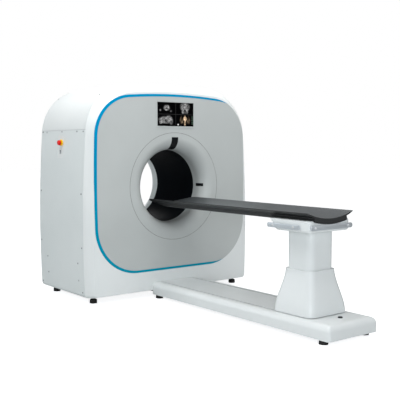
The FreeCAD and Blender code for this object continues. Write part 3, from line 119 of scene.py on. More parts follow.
bpy.context.scene.view_settings.view_transform = "Standard"
world = bpy.data.worlds.new("studio")
world.use_nodes = True
tree = world.node_tree
seen = add(tree, "ShaderNodeLightPath", {}, "Is Camera Ray")
bright = add(tree, "ShaderNodeMapRange", {"Value": seen, "To Min": 0.26, "To Max": 1.0})
fill(tree.nodes["Background"], {"Color": linear("ffffff"), "Strength": bright})
bpy.context.scene.world = world
light_panel("overhead", (-0.4, -0.15, 3.4), (0, -0.1, 0.6), (3.0, 4.2), 132)
light_panel("left_side", (-3.7, 3.0, 1.8), (-0.78, 0.9, 0.9), (2.2, 2.2), 28, "f6fcff")
light_panel("behind_camera", (-3.6, -5.2, 1.3), (0, -0.5, 0.6), (0.9, 2.4), 126, "f2f7fc")
light_panel("behind_machine", (1.9, 4.6, 1.8), (0.2, 1.3, 0.86), (1.6, 1.6), 40)
light_panel("front_right", (3.0, -4.8, 2.2), (0, 0, 0.8), (3.0, 2.5), 24)

paper = bpy.data.materials.new("matt_paper_white")
paper.use_nodes = True
tree = paper.node_tree
seen = add(tree, "ShaderNodeLightPath", {}, "Is Camera Ray")
glow = add(tree, "ShaderNodeMapRange", {"Value": seen, "To Min": 0.05, "To Max": 0.92})
fill(tree.nodes["Principled BSDF"], {"Base Color": linear("c2c4c4"), "Roughness": 0.9,
                                     "Emission Color": linear("fbfcfd"), "Emission Strength": glow})
floor.data.materials.append(paper)

# %% [markdown]
# ## Finishes
# Every finish starts from what the real one is and how it was made. The covers are thick vacuum-formed ABS,
# sprayed with a satin two-part paint: it has a fine orange-peel skin that is only seen in the highlights, and
# faint scuffs low down where shoes and mops reach. Patterns are worked out in metres from a real size, so a
# grain of 1.5 mm stays 1.5 mm on every piece.

# %% A sheet to start a finish on, and its patterns
MM = 0.001


def finish(name, colour, roughness, metallic=0.0, ior=1.5):
    """Starts a material and returns it with its node tree, its shader and the piece's own coordinates."""
    made = bpy.data.materials.new(name)
    made.use_nodes = True
    surface = made.node_tree.nodes["Principled BSDF"]
    fill(surface, {"Base Color": linear(colour), "Roughness": roughness, "Metallic": metallic, "IOR": ior})
    return made, made.node_tree, surface, add(made.node_tree, "ShaderNodeTexCoord", {}, "Object")


def lumps(size):
    """The scale of a noise whose lumps are about the given size, in metres."""
    return 0.5 / size


def mottle(tree, place, size, detail, low, high):
    """Lumps of about the given size, in metres, between a low and a high value."""
    noise = add(tree, "ShaderNodeTexNoise", {"Vector": place, "Scale": lumps(size), "Detail": detail})
    return add(tree, "ShaderNodeMapRange", {"Value": noise, "From Min": 0.3, "From Max": 0.7,
                                            "To Min": low, "To Max": high})


print("helpers ready")

# %% [markdown]
# ## Painted covers
# Orange peel is a soft ripple of about 4 mm left by the spray gun, with a finer stipple of 1 mm from the
# texture coat. Both are kept very shallow. Large thin mouldings also pull in a little as they cool, so a
# long, shallow wave runs through them. The colour drifts by one or two percent where the coat is thicker.

# %% Satin paint on vacuum-formed ABS
def painted_abs(name, colour, shade, roughness):
    """Satin two-part paint; the shade is its colour where the coat is thicker."""
    made, tree, surface, place = finish(name, colour, roughness)
    stipple = add(tree, "ShaderNodeTexNoise", {"Vector": place, "Scale": lumps(1.0 * MM)})
    peel = add(tree, "ShaderNodeTexNoise", {"Vector": place, "Scale": lumps(4.0 * MM)})
    ripple = add(tree, "ShaderNodeMath", {0: stipple, 1: peel}, operation="ADD")
    skin = add(tree, "ShaderNodeBump", {"Height": ripple, "Strength": 1.0, "Distance": 0.012 * MM})
    sink = add(tree, "ShaderNodeTexNoise", {"Vector": place, "Scale": lumps(160 * MM), "Detail": 0.0})
    wave = add(tree, "ShaderNodeBump", {"Height": sink, "Strength": 1.0, "Distance": 0.08 * MM,
                                        "Normal": skin})
    drift = mottle(tree, place, 220 * MM, 3.0, 0.0, 1.0)
    coat = add(tree, "ShaderNodeMix", {0: drift, 6: linear(colour), 7: linear(shade)}, 2, data_type="RGBA")
    height = add(tree, "ShaderNodeSeparateXYZ", {"Vector": place}, "Z")
    near_floor = add(tree, "ShaderNodeMapRange", {"Value": height, "From Min": 0.30, "From Max": 0.03,
                                                  "To Min": 0.0, "To Max": 0.035})
    patches = mottle(tree, place, 35 * MM, 4.0, 0.2, 1.0)
    scuffs = add(tree, "ShaderNodeMath", {0: near_floor, 1: patches}, operation="MULTIPLY")
    tone = add(tree, "ShaderNodeMix", {0: scuffs, 6: coat, 7: linear("8f8a80")}, 2, data_type="RGBA")
    gloss = mottle(tree, place, 60 * MM, 3.0, roughness - 0.03, roughness + 0.05)
    fill(surface, {"Base Color": tone, "Roughness": gloss, "Normal": wave})
    return made


white_paint = painted_abs("satin_paint_white_on_abs", "e6eaea", "e1e6e6", 0.33)
side_paint = painted_abs("satin_paint_light_grey_on_abs", "e1e7e7", "dbe2e2", 0.38)
panel_paint = painted_abs("satin_paint_silver_grey_on_abs", "bcc1c0", "b6bbba", 0.42)
print("paints", white_paint.name, side_paint.name, panel_paint.name)

# %% [markdown]
# ## Plain mouldings
# Small parts are injection moulded. A spark-eroded mould leaves an even fine pitting on ABS, while a polished
# mould leaves the stop button smoother. Rubber feet are matt, and foam and belts still more so.

# %% Moulded plastics and rubber
def moulded(name, colour, shade, roughness, pit, depth, coat=0.0, shine=0.5):
    """A moulded plastic or rubber, with pits of a given size and depth from its mould."""
    made, tree, surface, place = finish(name, colour, roughness)
    pits = add(tree, "ShaderNodeTexNoise", {"Vector": place, "Scale": lumps(pit)})
    skin = add(tree, "ShaderNodeBump", {"Height": pits, "Strength": 1.0, "Distance": depth})
    drift = mottle(tree, place, 18 * MM, 3.0, 0.0, 1.0)
    tone = add(tree, "ShaderNodeMix", {0: drift, 6: linear(colour), 7: linear(shade)}, 2, data_type="RGBA")
    gloss = mottle(tree, place, 9 * MM, 3.0, roughness - 0.04, roughness + 0.06)
    fill(surface, {"Base Color": tone, "Roughness": gloss, "Normal": skin, "Coat Weight": coat,
                   "Coat Roughness": 0.08, "Specular IOR Level": shine})
    return made


black_abs = moulded("spark_textured_black_abs", "15171a", "1b1d20", 0.48, 0.9 * MM, 0.04 * MM)
liner_black = moulded("satin_black_polycarbonate_liner", "070b10", "0a0f14", 0.50, 2.5 * MM, 0.02 * MM,
                      shine=0.02)
window_black = moulded("smoked_acrylic_window", "05080b", "080b0f", 0.30, 6.0 * MM, 0.01 * MM, shine=0.15)
grey_abs = moulded("spark_textured_grey_abs", "9a9fa2", "94999c", 0.45, 0.9 * MM, 0.03 * MM)
stop_red = moulded("gloss_red_nylon", "e81003", "d60e02", 0.34, 1.5 * MM, 0.01 * MM, 0.08, 0.25)
stop_yellow = moulded("gloss_yellow_abs", "ffc800", "f7c000", 0.36, 1.5 * MM, 0.01 * MM, 0.05, 0.25)
foot_rubber = moulded("moulded_black_rubber", "121212", "1f1e1c", 0.70, 1.2 * MM, 0.06 * MM)
foam_black = moulded("closed_cell_eva_foam", "1a1c1e", "141618", 0.85, 1.6 * MM, 0.18 * MM)
belt_rubber = moulded("toothed_belt_neoprene", "17171a", "202024", 0.62, 0.8 * MM, 0.05 * MM)
print("mouldings ready")

# %% [markdown]
# ## The blue accent
# The accent is a strip of pigmented acrylic let into the edge of the front panel. Its colour is deep and its
# face is satin, with hardly any sheen. The colour follows the height: it is drawn a little darker and greener
# towards the floor, as painted shade.

# %% Pigmented acrylic
trim_blue, tree, surface, place = finish("pigmented_acrylic_blue", "008fc0", 0.42, ior=1.49)
height = add(tree, "ShaderNodeSeparateXYZ", {"Vector": place}, "Z")
# painted shade: the blue is drawn darker and greener towards the floor
shade_towards_floor = add(tree, "ShaderNodeMapRange", {"Value": height, "From Min": 1.3, "From Max": 0.25})
tone = add(tree, "ShaderNodeMix", {0: shade_towards_floor, 6: linear("008fc0"), 7: linear("0091ac")}, 2, data_type="RGBA")
ripple = add(tree, "ShaderNodeTexNoise", {"Vector": place, "Scale": lumps(12 * MM)})
skin = add(tree, "ShaderNodeBump", {"Height": ripple, "Strength": 1.0, "Distance": 0.02 * MM})
fill(surface, {"Base Color": tone, "Normal": skin, "Specular IOR Level": 0.02})
print("trim", trim_blue.name)

# %% [markdown]
# ## Carbon skin of the patient top
# Tows of carbon fibre cross over two and under two, which makes the diagonal steps of a twill. On the real
# skin a tow is 2 mm wide. From the camera's distance that melts into grey, so it is drawn 6 mm wide, with
# only a faint difference between the tows that run along the table and those that run across. Faces that turn
# sideways or down are drawn nearly black: partly the black edge of the skin, partly painted shade.

# %% Twill weave under clear satin resin
carbon, tree, surface, place = finish("carbon_twill_in_satin_resin", "4a4e50", 0.42)
TOW = 6.0 * MM
tows, arches = [], []
for axis in ("X", "Y"):
    along = add(tree, "ShaderNodeSeparateXYZ", {"Vector": place}, axis)
    scaled = add(tree, "ShaderNodeMath", {0: along, 1: TOW}, operation="DIVIDE")
    tows.append(add(tree, "ShaderNodeMath", {0: scaled}, operation="FLOOR"))
    across = add(tree, "ShaderNodeMath", {0: scaled}, operation="FRACT")
    arches.append(add(tree, "ShaderNodeMath", {0: across, 1: 0.5}, operation="PINGPONG"))
stair = add(tree, "ShaderNodeMath", {0: tows[0], 1: tows[1]}, operation="ADD")
turn = add(tree, "ShaderNodeMath", {0: stair, 1: 4.0}, operation="FLOORED_MODULO")
over = add(tree, "ShaderNodeMath", {0: turn, 1: 1.5}, operation="LESS_THAN")
tow_height = add(tree, "ShaderNodeMix", {0: over, 2: arches[0], 3: arches[1]})
skin = add(tree, "ShaderNodeBump", {"Height": tow_height, "Strength": 1.0, "Distance": 0.10 * MM})
weave = add(tree, "ShaderNodeMix", {0: over, 6: linear("3c4042"), 7: linear("484c4e")}, 2, data_type="RGBA")
fibre = mottle(tree, place, 90 * MM, 4.0, 0.0, 0.5)
cloth = add(tree, "ShaderNodeMix", {0: fibre, 6: weave, 7: linear("3e4244")}, 2, data_type="RGBA")
outward = add(tree, "ShaderNodeNewGeometry", {}, "True Normal")
upward = add(tree, "ShaderNodeSeparateXYZ", {"Vector": outward}, "Z")
# partly the black edge of the skin, partly painted shade: faces turned sideways or down are drawn nearly
# black
black_edge_and_shade = add(tree, "ShaderNodeMapRange", {"Value": upward, "From Min": 0.45, "From Max": 0.25})
tone = add(tree, "ShaderNodeMix", {0: black_edge_and_shade, 6: cloth, 7: linear("1a1c1e")}, 2, data_type="RGBA")
gloss = add(tree, "ShaderNodeMapRange", {"Value": over, "To Min": 0.38, "To Max": 0.46})
fill(surface, {"Base Color": tone, "Roughness": gloss, "Normal": skin, "Coat Weight": 0.15,
               "Coat Roughness": 0.25})
print("weave", TOW)

# %% [markdown]
# ## Metals
# The flat bars round the table head are extruded aluminium, anodised clear: the extruder's lines run along
# the bar and the oxide leaves it satin. Nuts and the covers' screws are zinc plated, the bars' screws nickel
# plated, the frames powder coated, and the slip ring's copper tracks turned.

# %% Drawn, plated and coated metals
def drawn_metal(name, colour, shade, roughness, line, stretch):
    """A metal with drawn lines; a small stretch makes them long on that axis."""
    made, tree, surface, place = finish(name, colour, roughness, metallic=1.0)
    along = add(tree, "ShaderNodeMapping", {"Vector": place, "Scale": stretch})
    lines = add(tree, "ShaderNodeTexNoise", {"Vector": along, "Scale": lumps(line), "Detail": 3.0})
    skin = add(tree, "ShaderNodeBump", {"Height": lines, "Strength": 1.0, "Distance": 0.015 * MM})
    drift = mottle(tree, along, line, 3.0, 0.0, 1.0)
    tone = add(tree, "ShaderNodeMix", {0: drift, 6: linear(colour), 7: linear(shade)}, 2, data_type="RGBA")
    gloss = mottle(tree, place, 14 * MM, 2.0, roughness - 0.05, roughness + 0.06)
    fill(surface, {"Base Color": tone, "Roughness": gloss, "Normal": skin})
    return made


anodised = drawn_metal("clear_anodised_aluminium_extrusion", "dbe1e6", "d0d7dd", 0.44, 1.2 * MM,
                       (0.04, 0.04, 1.0))
zinc = drawn_metal("bright_zinc_plated_steel", "c8cbce", "b7babd", 0.26, 0.8 * MM, (1.0, 1.0, 1.0))
nickel = drawn_metal("satin_nickel_plated_steel", "f0f2f3", "e4e6e8", 0.46, 0.8 * MM, (1.0, 1.0, 1.0))
ground = drawn_metal("ground_bearing_steel", "b4b7ba", "a6a9ac", 0.22, 0.8 * MM, (1.0, 0.05, 1.0))
copper = drawn_metal("turned_copper_track", "c88a5a", "b0764a", 0.24, 1.5 * MM, (0.05, 1.0, 0.05))


def powder_coat(name, colour, shade):
    """Baked powder, with the fine orange peel that it leaves on sheet steel."""
    made, tree, surface, place = finish(name, colour, 0.55)
    peel = add(tree, "ShaderNodeTexNoise", {"Vector": place, "Scale": lumps(2.2 * MM)})
    skin = add(tree, "ShaderNodeBump", {"Height": peel, "Strength": 1.0, "Distance": 0.06 * MM})
    drift = mottle(tree, place, 90 * MM, 3.0, 0.0, 1.0)
    tone = add(tree, "ShaderNodeMix", {0: drift, 6: linear(colour), 7: linear(shade)}, 2, data_type="RGBA")
    fill(surface, {"Base Color": tone, "Normal": skin})
    return made


powder = powder_coat("grey_powder_coated_steel", "565c63", "4c5259")
pale_powder = powder_coat("pale_powder_coated_steel", "c9cdd0", "c0c4c7")
print("metals ready")

# %% [markdown]
# ## The screen
# A wide screen above the bore shows four pictures from a scan, divided by thin grey lines. The pictures are
# drawn from soft ellipses in millimetres from the screen's centre, lit from within as a backlit panel is,
# under a clear black front. They stand for no real patient: they are only rounded grey and tan shapes.

# %% Backlit panel behind clear polycarbonate
screen, tree, surface, place = finish("backlit_panel_under_clear_front", "010102", 0.20, ior=1.58)
low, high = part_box("display_glass")
screen_middle = ((low.x + high.x) / 2, 0.0, (low.z + high.z) / 2)
from_middle = add(tree, "ShaderNodeVectorMath", {0: place, 1: screen_middle}, operation="SUBTRACT")
flat = add(tree, "ShaderNodeVectorMath", {0: from_middle, 1: (1 / MM, 0.0, 1 / MM)}, operation="MULTIPLY")


def ellipse(centre, radii, soft=0.25):
    """1 inside an ellipse given in millimetres from the screen's centre, fading to 0 outside it."""
    moved = add(tree, "ShaderNodeVectorMath", {0: flat, 1: (centre[0], 0, centre[1])}, operation="SUBTRACT")
    sized = add(tree, "ShaderNodeVectorMath", {0: moved, 1: (radii[0], 1, radii[1])}, operation="DIVIDE")
    far = add(tree, "ShaderNodeVectorMath", {0: sized}, "Value", operation="LENGTH")
    return add(tree, "ShaderNodeMapRange", {"Value": far, "From Min": 1 + soft, "From Max": 1 - soft})


def picture(shapes):
    """Adds ellipses up; a negative strength cuts a hollow. Each is (centre, radii, strength)."""
    total = 0.0
    for centre, radii, strength in shapes:
        shape = add(tree, "ShaderNodeMath", {0: ellipse(centre, radii), 1: strength}, operation="MULTIPLY")
        total = add(tree, "ShaderNodeMath", {0: total, 1: shape}, operation="ADD")
        total = add(tree, "ShaderNodeMath", {0: total, 1: 0.0}, operation="MAXIMUM")
    return total


upper_left = [((-86, 50), (28, 20), 0.34), ((-94, 56), (12, 9), 0.24), ((-76, 56), (12, 9), 0.24),
              ((-86, 46), (10, 8), -0.34), ((-90, 34), (9, 7), 0.26), ((-146, 31), (8, 8), 0.30),
              ((-45, 25), (9, 8), 0.28)]
upper_right = [((90, 62), (42, 29), 0.32), ((90, 68), (7, 22), 0.26), ((68, 42), (16, 12), 0.26),
               ((112, 42), (16, 12), 0.26), ((76, 48), (8, 6), -0.30), ((104, 48), (8, 6), -0.30),
               ((90, 36), (9, 9), -0.20), ((70, 20), (11, 13), 0.30), ((110, 20), (11, 13), 0.30),
               ((90, 16), (9, 10), 0.16)]
lower_left = [((-104, -42), (52, 24), 0.28), ((-120, -36), (22, 13), 0.18), ((-92, -48), (16, 8), -0.20),
              ((-66, -34), (26, 24), 0.22), ((-44, -52), (17, 28), 0.22), ((-138, -62), (18, 10), 0.30),
              ((-98, -66), (34, 7), 0.20), ((-144, -72), (8, 4), 0.30)]
lower_right = [((90, -44), (42, 38), 0.42), ((90, -44), (35, 42), -0.60), ((90, -86), (40, 14), -0.60),
               ((90, -34), (18, 16), 0.90), ((90, -60), (9, 24), 0.80), ((90, -16), (5, 9), 0.50),
               ((62, -54), (5, 14), 0.30), ((118, -54), (5, 14), 0.30)]
greys, tans = picture(upper_left + upper_right + lower_left), picture(lower_right)
speckle = mottle(tree, place, 5 * MM, 4.0, 0.10, 1.35)
spots = mottle(tree, place, 9 * MM, 3.0, 0.5, 1.2)
speckled = add(tree, "ShaderNodeMath", {0: greys, 1: speckle}, operation="MULTIPLY")
grey_light = add(tree, "ShaderNodeMath", {0: speckled, 1: spots}, operation="MULTIPLY")
tan_light = add(tree, "ShaderNodeMath", {0: tans, 1: speckle}, operation="MULTIPLY")
LINE_HALF, LINE_LIGHT = 0.9, 0.10
lines = 0.0
for axis in ("X", "Z"):
    side = add(tree, "ShaderNodeSeparateXYZ", {"Vector": flat}, axis)
    off = add(tree, "ShaderNodeMath", {0: side}, operation="ABSOLUTE")
    inside = add(tree, "ShaderNodeMath", {0: off, 1: LINE_HALF}, operation="LESS_THAN")
    line = add(tree, "ShaderNodeMath", {0: inside, 1: LINE_LIGHT}, operation="MULTIPLY")
    lines = add(tree, "ShaderNodeMath", {0: lines, 1: line}, operation="MAXIMUM")
icons = 0.0
for row in range(5):
    icon = ellipse((161, -16 - 14 * row), (4, 3.4), 0.2)
    icons = add(tree, "ShaderNodeMath", {0: icons, 1: icon}, operation="MAXIMUM")
marker = ellipse((23, -79), (5.5, 5.5), 0.3)
glow = (0.0, 0.0, 0.0)
for amount, colour in ((grey_light, "f0f0f0"), (tan_light, "ffdcb4"), (lines, "c8c8c8"),
                       (icons, "6f8a78"), (marker, "ffffff")):
    lit = add(tree, "ShaderNodeVectorMath", {0: linear(colour)[:3], "Scale": amount}, operation="SCALE")
    glow = add(tree, "ShaderNodeVectorMath", {0: glow, 1: lit}, operation="ADD")
fill(surface, {"Emission Color": glow, "Emission Strength": 1.0, "Specular IOR Level": 0.01})
print("screen centre", screen_middle)

# %% [markdown]
# ## Who wears what
# Each mechanical part keeps its shape and gets the finish of its real material.

# %% Give every part its finish
wears = {
    white_paint: ["front_cover", "rear_cover", "top_shell", "slab_cover", "column_skirt", "column_sleeve",
                  "head_cover", "switch_plate"],
    side_paint: ["side_panel_left", "side_panel_right", "rear_funnel"],
    panel_paint: ["front_panel", "front_funnel", "display_housing"],
    grey_abs: ["power_rocker"],
    trim_blue: ["accent_strip"],
    liner_black: ["bore_tunnel"],
    window_black: ["laser_windows"],
    carbon: ["tabletop"],
    foam_black: ["table_saddle"],
    black_abs: ["brush_block", "fan_frame", "fan_rotor"],
    screen: ["display_glass"],
    stop_red: ["estop_cap"],
    stop_yellow: ["estop_collar"],
    anodised: ["accessory_rails", "rotor_drum", "head_frame", "carriage", "column_mast", "lift_tube",
               "heat_exchanger"],
    nickel: ["rail_screws"],
    zinc: ["cover_screws", "foot_locknuts", "estop_stem", "motor_pulley", "table_drive_pulley",
           "table_idler_pulley"],
    ground: ["bearing_balls", "bearing_inner_ring", "bearing_outer_ring", "linear_rails", "rail_blocks"],
    foot_rubber: ["levelling_feet"],
    powder: ["gantry_frame", "slab_chassis", "drive_motor", "table_motor", "power_supply",
             "generator", "xray_source", "collimator", "detector_array"],
    pale_powder: ["cover_hoops"],
    belt_rubber: ["drive_belt", "table_belt"],
    copper: ["slip_ring"],
}
for coat, names in wears.items():
    for name in names:
        for holder in parts[name].material_slots:
            holder.material = coat
print("finished", sum(len(names) for names in wears.values()), "of", len(parts))

# %% [markdown]
# ## Tools for the modelled pieces
# Each new piece starts as a primitive at its real place and size, and is shaped in edit mode. Edit mode acts
# on what is selected, so a small helper selects faces, edges or points by where they are. When the shape is
# done, a second helper smooths it, gives it its finish and fixes it to the body that it rides on.

# %% Open, pick, refine and close a piece
def open_piece(name):
    """Names the newest object, puts its place and size into its mesh, and opens it in edit mode."""
    piece = bpy.context.object
    piece.name = name
    bpy.ops.object.transform_apply(location=True, rotation=True, scale=True)
    bpy.ops.object.mode_set(mode="EDIT")
    return piece


def middle_of(item):
    """The middle of a face or an edge, or a point's own place."""
    points = [item.co] if hasattr(item, "co") else [v.co for v in item.verts]
    return sum(points, Vector()) / len(points)


def pick(kind, test):
    """Selects the faces, edges or points of the open piece for which the test is true."""
    bpy.ops.mesh.select_mode(type=kind)
    bpy.ops.mesh.select_all(action="DESELECT")
    mesh = bmesh.from_edit_mesh(bpy.context.object.data)
    for item in {"VERT": mesh.verts, "EDGE": mesh.edges, "FACE": mesh.faces}[kind]:
        if test(item):
            item.select_set(True)
    mesh.select_flush_mode()
    bmesh.update_edit_mesh(bpy.context.object.data)


def level(item, axis, value, slack=0.2 * MM):
    """True when every point of an edge or face lies at one value along an axis."""
    return all(abs(v.co[axis] - value) < slack for v in item.verts)


def refine(kind, **settings):
    """Adds a modifier to the piece and applies it."""
    bpy.ops.object.mode_set(mode="OBJECT")
    modifier = bpy.context.object.modifiers.new(kind.lower(), kind)
    for name, value in settings.items():
        setattr(modifier, name, value)
    bpy.ops.object.modifier_apply(modifier=modifier.name)


def close_piece(piece, coat, body, replaced=()):
    """Smooths the piece, gives it its finish, and fixes it to its body."""
    bpy.ops.object.select_all(action="DESELECT")
    piece.select_set(True)
    bpy.context.view_layer.objects.active = piece
    bpy.ops.object.shade_smooth_by_angle(angle=math.radians(35))
    piece.data.materials.clear()
    piece.data.materials.append(coat)
    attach(piece, body)
    if replaced:
        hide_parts(*replaced)
    bpy.ops.object.select_all(action="DESELECT")


def twin(piece, name, matrix):
    """A copy with its own mesh, moved by moving its points."""
    made = piece.copy()
    made.name, made.data = name, piece.data.copy()
    made.data.transform(matrix)
    bpy.context.scene.collection.objects.link(made)
    return made


HALF_TURN = Matrix.Rotation(math.pi, 4, "Z")
print("tools ready")

# %% [markdown]
# ## The head cover
# The head is one thick moulding with generous draws: its near corners are almost quarter-rounds and its lower
# edge turns under softly, so light slides round it. It starts as a block. A cut part way up lets its far end
# lean, then each family of edges is bevelled by its own radius, largest first. The cradle for the patient
# top is cut last, by a wide cylinder trimmed to the cradle's width.

# %% Model the head cover
LEAN_FROM, LEAN_FOOT, LEAN_WAIST = 37 * MM, 60 * MM, 40 * MM
NEAR_R, FAR_R, LOWER_R, UPPER_R = 35 * MM, 14 * MM, 17 * MM, 9 * MM
low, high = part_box("head_cover")
bpy.ops.mesh.primitive_cube_add(size=1, location=(low + high) / 2, scale=high - low)
head = open_piece("head_cover_soft")
bpy.ops.mesh.select_all(action="SELECT")
bpy.ops.mesh.bisect(plane_co=(0, 0, low.z + LEAN_FROM), plane_no=(0, 0, 1))
pick("VERT", lambda v: v.co.y > high.y - MM and v.co.z < low.z + MM)
bpy.ops.transform.translate(value=(0, -LEAN_FOOT, 0))
pick("VERT", lambda v: v.co.y > high.y - MM and low.z + MM < v.co.z < high.z - MM)
bpy.ops.transform.translate(value=(0, -LEAN_WAIST, 0))
pick("EDGE", lambda e: level(e, 1, low.y) and abs(e.verts[0].co.z - e.verts[1].co.z) > MM)
bpy.ops.mesh.bevel(offset=NEAR_R, segments=12, profile=0.5, affect="EDGES")
pick("EDGE", lambda e: middle_of(e).y > high.y - LEAN_FOOT - 2 * MM and abs(middle_of(e).x) > high.x - MM
     and abs(e.verts[0].co.z - e.verts[1].co.z) > MM)
bpy.ops.mesh.bevel(offset=FAR_R, segments=6, profile=0.5, affect="EDGES")
pick("EDGE", lambda e: level(e, 2, low.z))
bpy.ops.mesh.bevel(offset=LOWER_R, segments=7, profile=0.5, affect="EDGES")
pick("EDGE", lambda e: level(e, 2, high.z))
bpy.ops.mesh.bevel(offset=UPPER_R, segments=5, profile=0.5, affect="EDGES")
bpy.ops.object.mode_set(mode="OBJECT")

CRADLE_R, CRADLE_HALF, CRADLE_LOW = 646.6 * MM, 147.3 * MM, 692.7 * MM
bpy.ops.mesh.primitive_cylinder_add(vertices=360, radius=CRADLE_R, depth=0.6,
                                    location=(0, (low.y + high.y) / 2, CRADLE_LOW + CRADLE_R),
                                    rotation=(math.pi / 2, 0, 0))
cutter = open_piece("cradle_cutter")
for side in (-1, 1):
    bpy.ops.mesh.select_all(action="SELECT")
    bpy.ops.mesh.bisect(plane_co=(side * CRADLE_HALF, 0, 0), plane_no=(side, 0, 0), use_fill=True,
                        clear_outer=True)
bpy.ops.object.mode_set(mode="OBJECT")
bpy.ops.object.select_all(action="DESELECT")
head.select_set(True)
bpy.context.view_layer.objects.active = head
refine("BOOLEAN", operation="DIFFERENCE", solver="EXACT", object=cutter)
refine("BEVEL", width=2.0 * MM, segments=3, limit_method="ANGLE", angle_limit=math.radians(45))
bpy.data.objects.remove(cutter)
close_piece(head, white_paint, "patient_table", ["head_cover"])
print("head cover faces", len(head.data.polygons))

# %% [markdown]
# ## Accessory bars and their screws
# Three flat bars of extruded aluminium stand off the head on round spacers, for clamps to hang on. Their ends
# are rounded and their edges broken, which is what catches the light. The near bar's ends are full rounds.
# One side bar is modelled and turned round for the other side. Each screw has a domed head with a round
# socket, sunk by insetting the top and pushing it down.

# %% Model the bars
low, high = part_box("accessory_rails")
screw_low, screw_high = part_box("rail_screws")
head_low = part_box("head_cover")[0]
BAR_T, SIDE_BAR_Z, NEAR_BAR_Z = 9 * MM, 675 * MM, 677 * MM
SIDE_BAR_ENDS = (-1061 * MM, -780 * MM)
SIDE_POSTS, NEAR_POSTS = (-1011 * MM, -831 * MM), (-147 * MM, 147 * MM)
POST_R, POST_T = 7.5 * MM, 7.5 * MM
POST_OFF = 3.5 * MM


def flat_bar(name, centre, size, across, radius, spacers):
    """A flat bar with rounded ends; across is the axis through its thickness."""
    bpy.ops.mesh.primitive_cube_add(size=1, location=centre, scale=size)
    piece = open_piece(name)
    pick("EDGE", lambda e: abs(e.verts[0].co[across] - e.verts[1].co[across]) > MM)
    bpy.ops.mesh.bevel(offset=radius, segments=10, profile=0.5, affect="EDGES")
    pick("EDGE", lambda e: level(e, across, centre[across] - size[across] / 2)
         or level(e, across, centre[across] + size[across] / 2))
    bpy.ops.mesh.bevel(offset=1.6 * MM, segments=3, profile=0.5, affect="EDGES")
    bpy.ops.object.mode_set(mode="OBJECT")
    posts = []
    for place in spacers:
        turned = (0, math.pi / 2, 0) if across == 0 else (math.pi / 2, 0, 0)
        bpy.ops.mesh.primitive_cylinder_add(vertices=32, radius=POST_R, depth=POST_T, location=place,
                                            rotation=turned)
        posts.append(open_piece("spacer"))
        bpy.ops.mesh.select_all(action="SELECT")
        bpy.ops.mesh.bevel(offset=0.5 * MM, segments=2, affect="EDGES")
        bpy.ops.object.mode_set(mode="OBJECT")
    bpy.ops.object.select_all(action="DESELECT")
    for item in posts + [piece]:
        item.select_set(True)
    bpy.context.view_layer.objects.active = piece
    bpy.ops.object.join()
    return piece


twice_middle = sum(SIDE_BAR_ENDS)
bar = flat_bar("side_bar_left", (low.x + BAR_T / 2, twice_middle / 2, SIDE_BAR_Z),
               (BAR_T, SIDE_BAR_ENDS[1] - SIDE_BAR_ENDS[0], 30 * MM), 0, 12 * MM,
               [(head_low.x - POST_OFF, y, SIDE_BAR_Z) for y in SIDE_POSTS])
other = twin(bar, "side_bar_right", Matrix.Translation((0, twice_middle, 0)) @ HALF_TURN)
near = flat_bar("near_bar", (0, low.y + BAR_T / 2, NEAR_BAR_Z), (372 * MM, BAR_T, 32 * MM), 1, 15.9 * MM,
                [(x, head_low.y - POST_OFF, NEAR_BAR_Z) for x in NEAR_POSTS])
for piece in (bar, other, near):
    close_piece(piece, anodised, "patient_table", ["accessory_rails"])

# %% Model one socket screw and copy it
SCREW_T = 4 * MM
bpy.ops.mesh.primitive_cylinder_add(vertices=36, radius=8 * MM, depth=SCREW_T, location=(0, 0, SCREW_T / 2))
screw = open_piece("socket_screw")
pick("EDGE", lambda e: level(e, 2, SCREW_T))
bpy.ops.mesh.bevel(offset=1.6 * MM, segments=4, affect="EDGES")
pick("FACE", lambda f: level(f, 2, SCREW_T))
bpy.ops.mesh.inset(thickness=3.2 * MM, depth=0)
bpy.ops.mesh.extrude_region_move(TRANSFORM_OT_translate={"value": (0, 0, -2.2 * MM)})
bpy.ops.object.mode_set(mode="OBJECT")
turn_left = Matrix.Rotation(-math.pi / 2, 4, "Y")
turn_near = Matrix.Rotation(math.pi / 2, 4, "X")
seats = [(turn_left, (screw_low.x + SCREW_T, y, SIDE_BAR_Z)) for y in SIDE_POSTS]
seats += [(HALF_TURN @ turn_left, (screw_high.x - SCREW_T, y, SIDE_BAR_Z)) for y in SIDE_POSTS]
seats += [(turn_near, (x, screw_low.y + SCREW_T, NEAR_BAR_Z)) for x in NEAR_POSTS]
for number, (turned, place) in enumerate(seats):
    made = twin(screw, f"socket_screw_{number + 1}", Matrix.Translation(place) @ turned)
    close_piece(made, nickel, "patient_table", ["rail_screws"])
bpy.data.objects.remove(screw)
print("bars and screws", len(seats))

# %% [markdown]
# ## The stop button's head
# A stop button's head is moulded in red nylon: a drum with a grooved skirt for the fingers, a soft shoulder,
# and a shallow dish in its face. It starts as a cylinder. The shoulder is bevelled, the dish is inset and
# pushed in, and every third strip of the skirt is inset and pushed in for grip.

# %% Model the stop button's head
low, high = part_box("estop_cap")
bpy.ops.mesh.primitive_cylinder_add(vertices=72, radius=(high.z - low.z) / 2, depth=high.x - low.x,
                                    location=(low + high) / 2, rotation=(0, math.pi / 2, 0))
knob = open_piece("stop_button_head")
pick("EDGE", lambda e: level(e, 0, low.x))
bpy.ops.mesh.bevel(offset=5 * MM, segments=6, profile=0.5, affect="EDGES")
pick("FACE", lambda f: level(f, 0, low.x))
bpy.ops.mesh.inset(thickness=2.5 * MM, depth=0)
bpy.ops.transform.translate(value=(0.8 * MM, 0, 0))
bpy.ops.mesh.inset(thickness=4.0 * MM, depth=0)
bpy.ops.transform.translate(value=(0.6 * MM, 0, 0))
knob_middle = (low + high) / 2


def grip(face):
    """Every third strip of the skirt."""
    place = middle_of(face) - knob_middle
    strip = round(math.degrees(math.atan2(place.z, place.y)) / 5 - 0.5)
    return abs(face.normal.x) < 0.1 and place.length > 0.017 and strip % 3 == 0


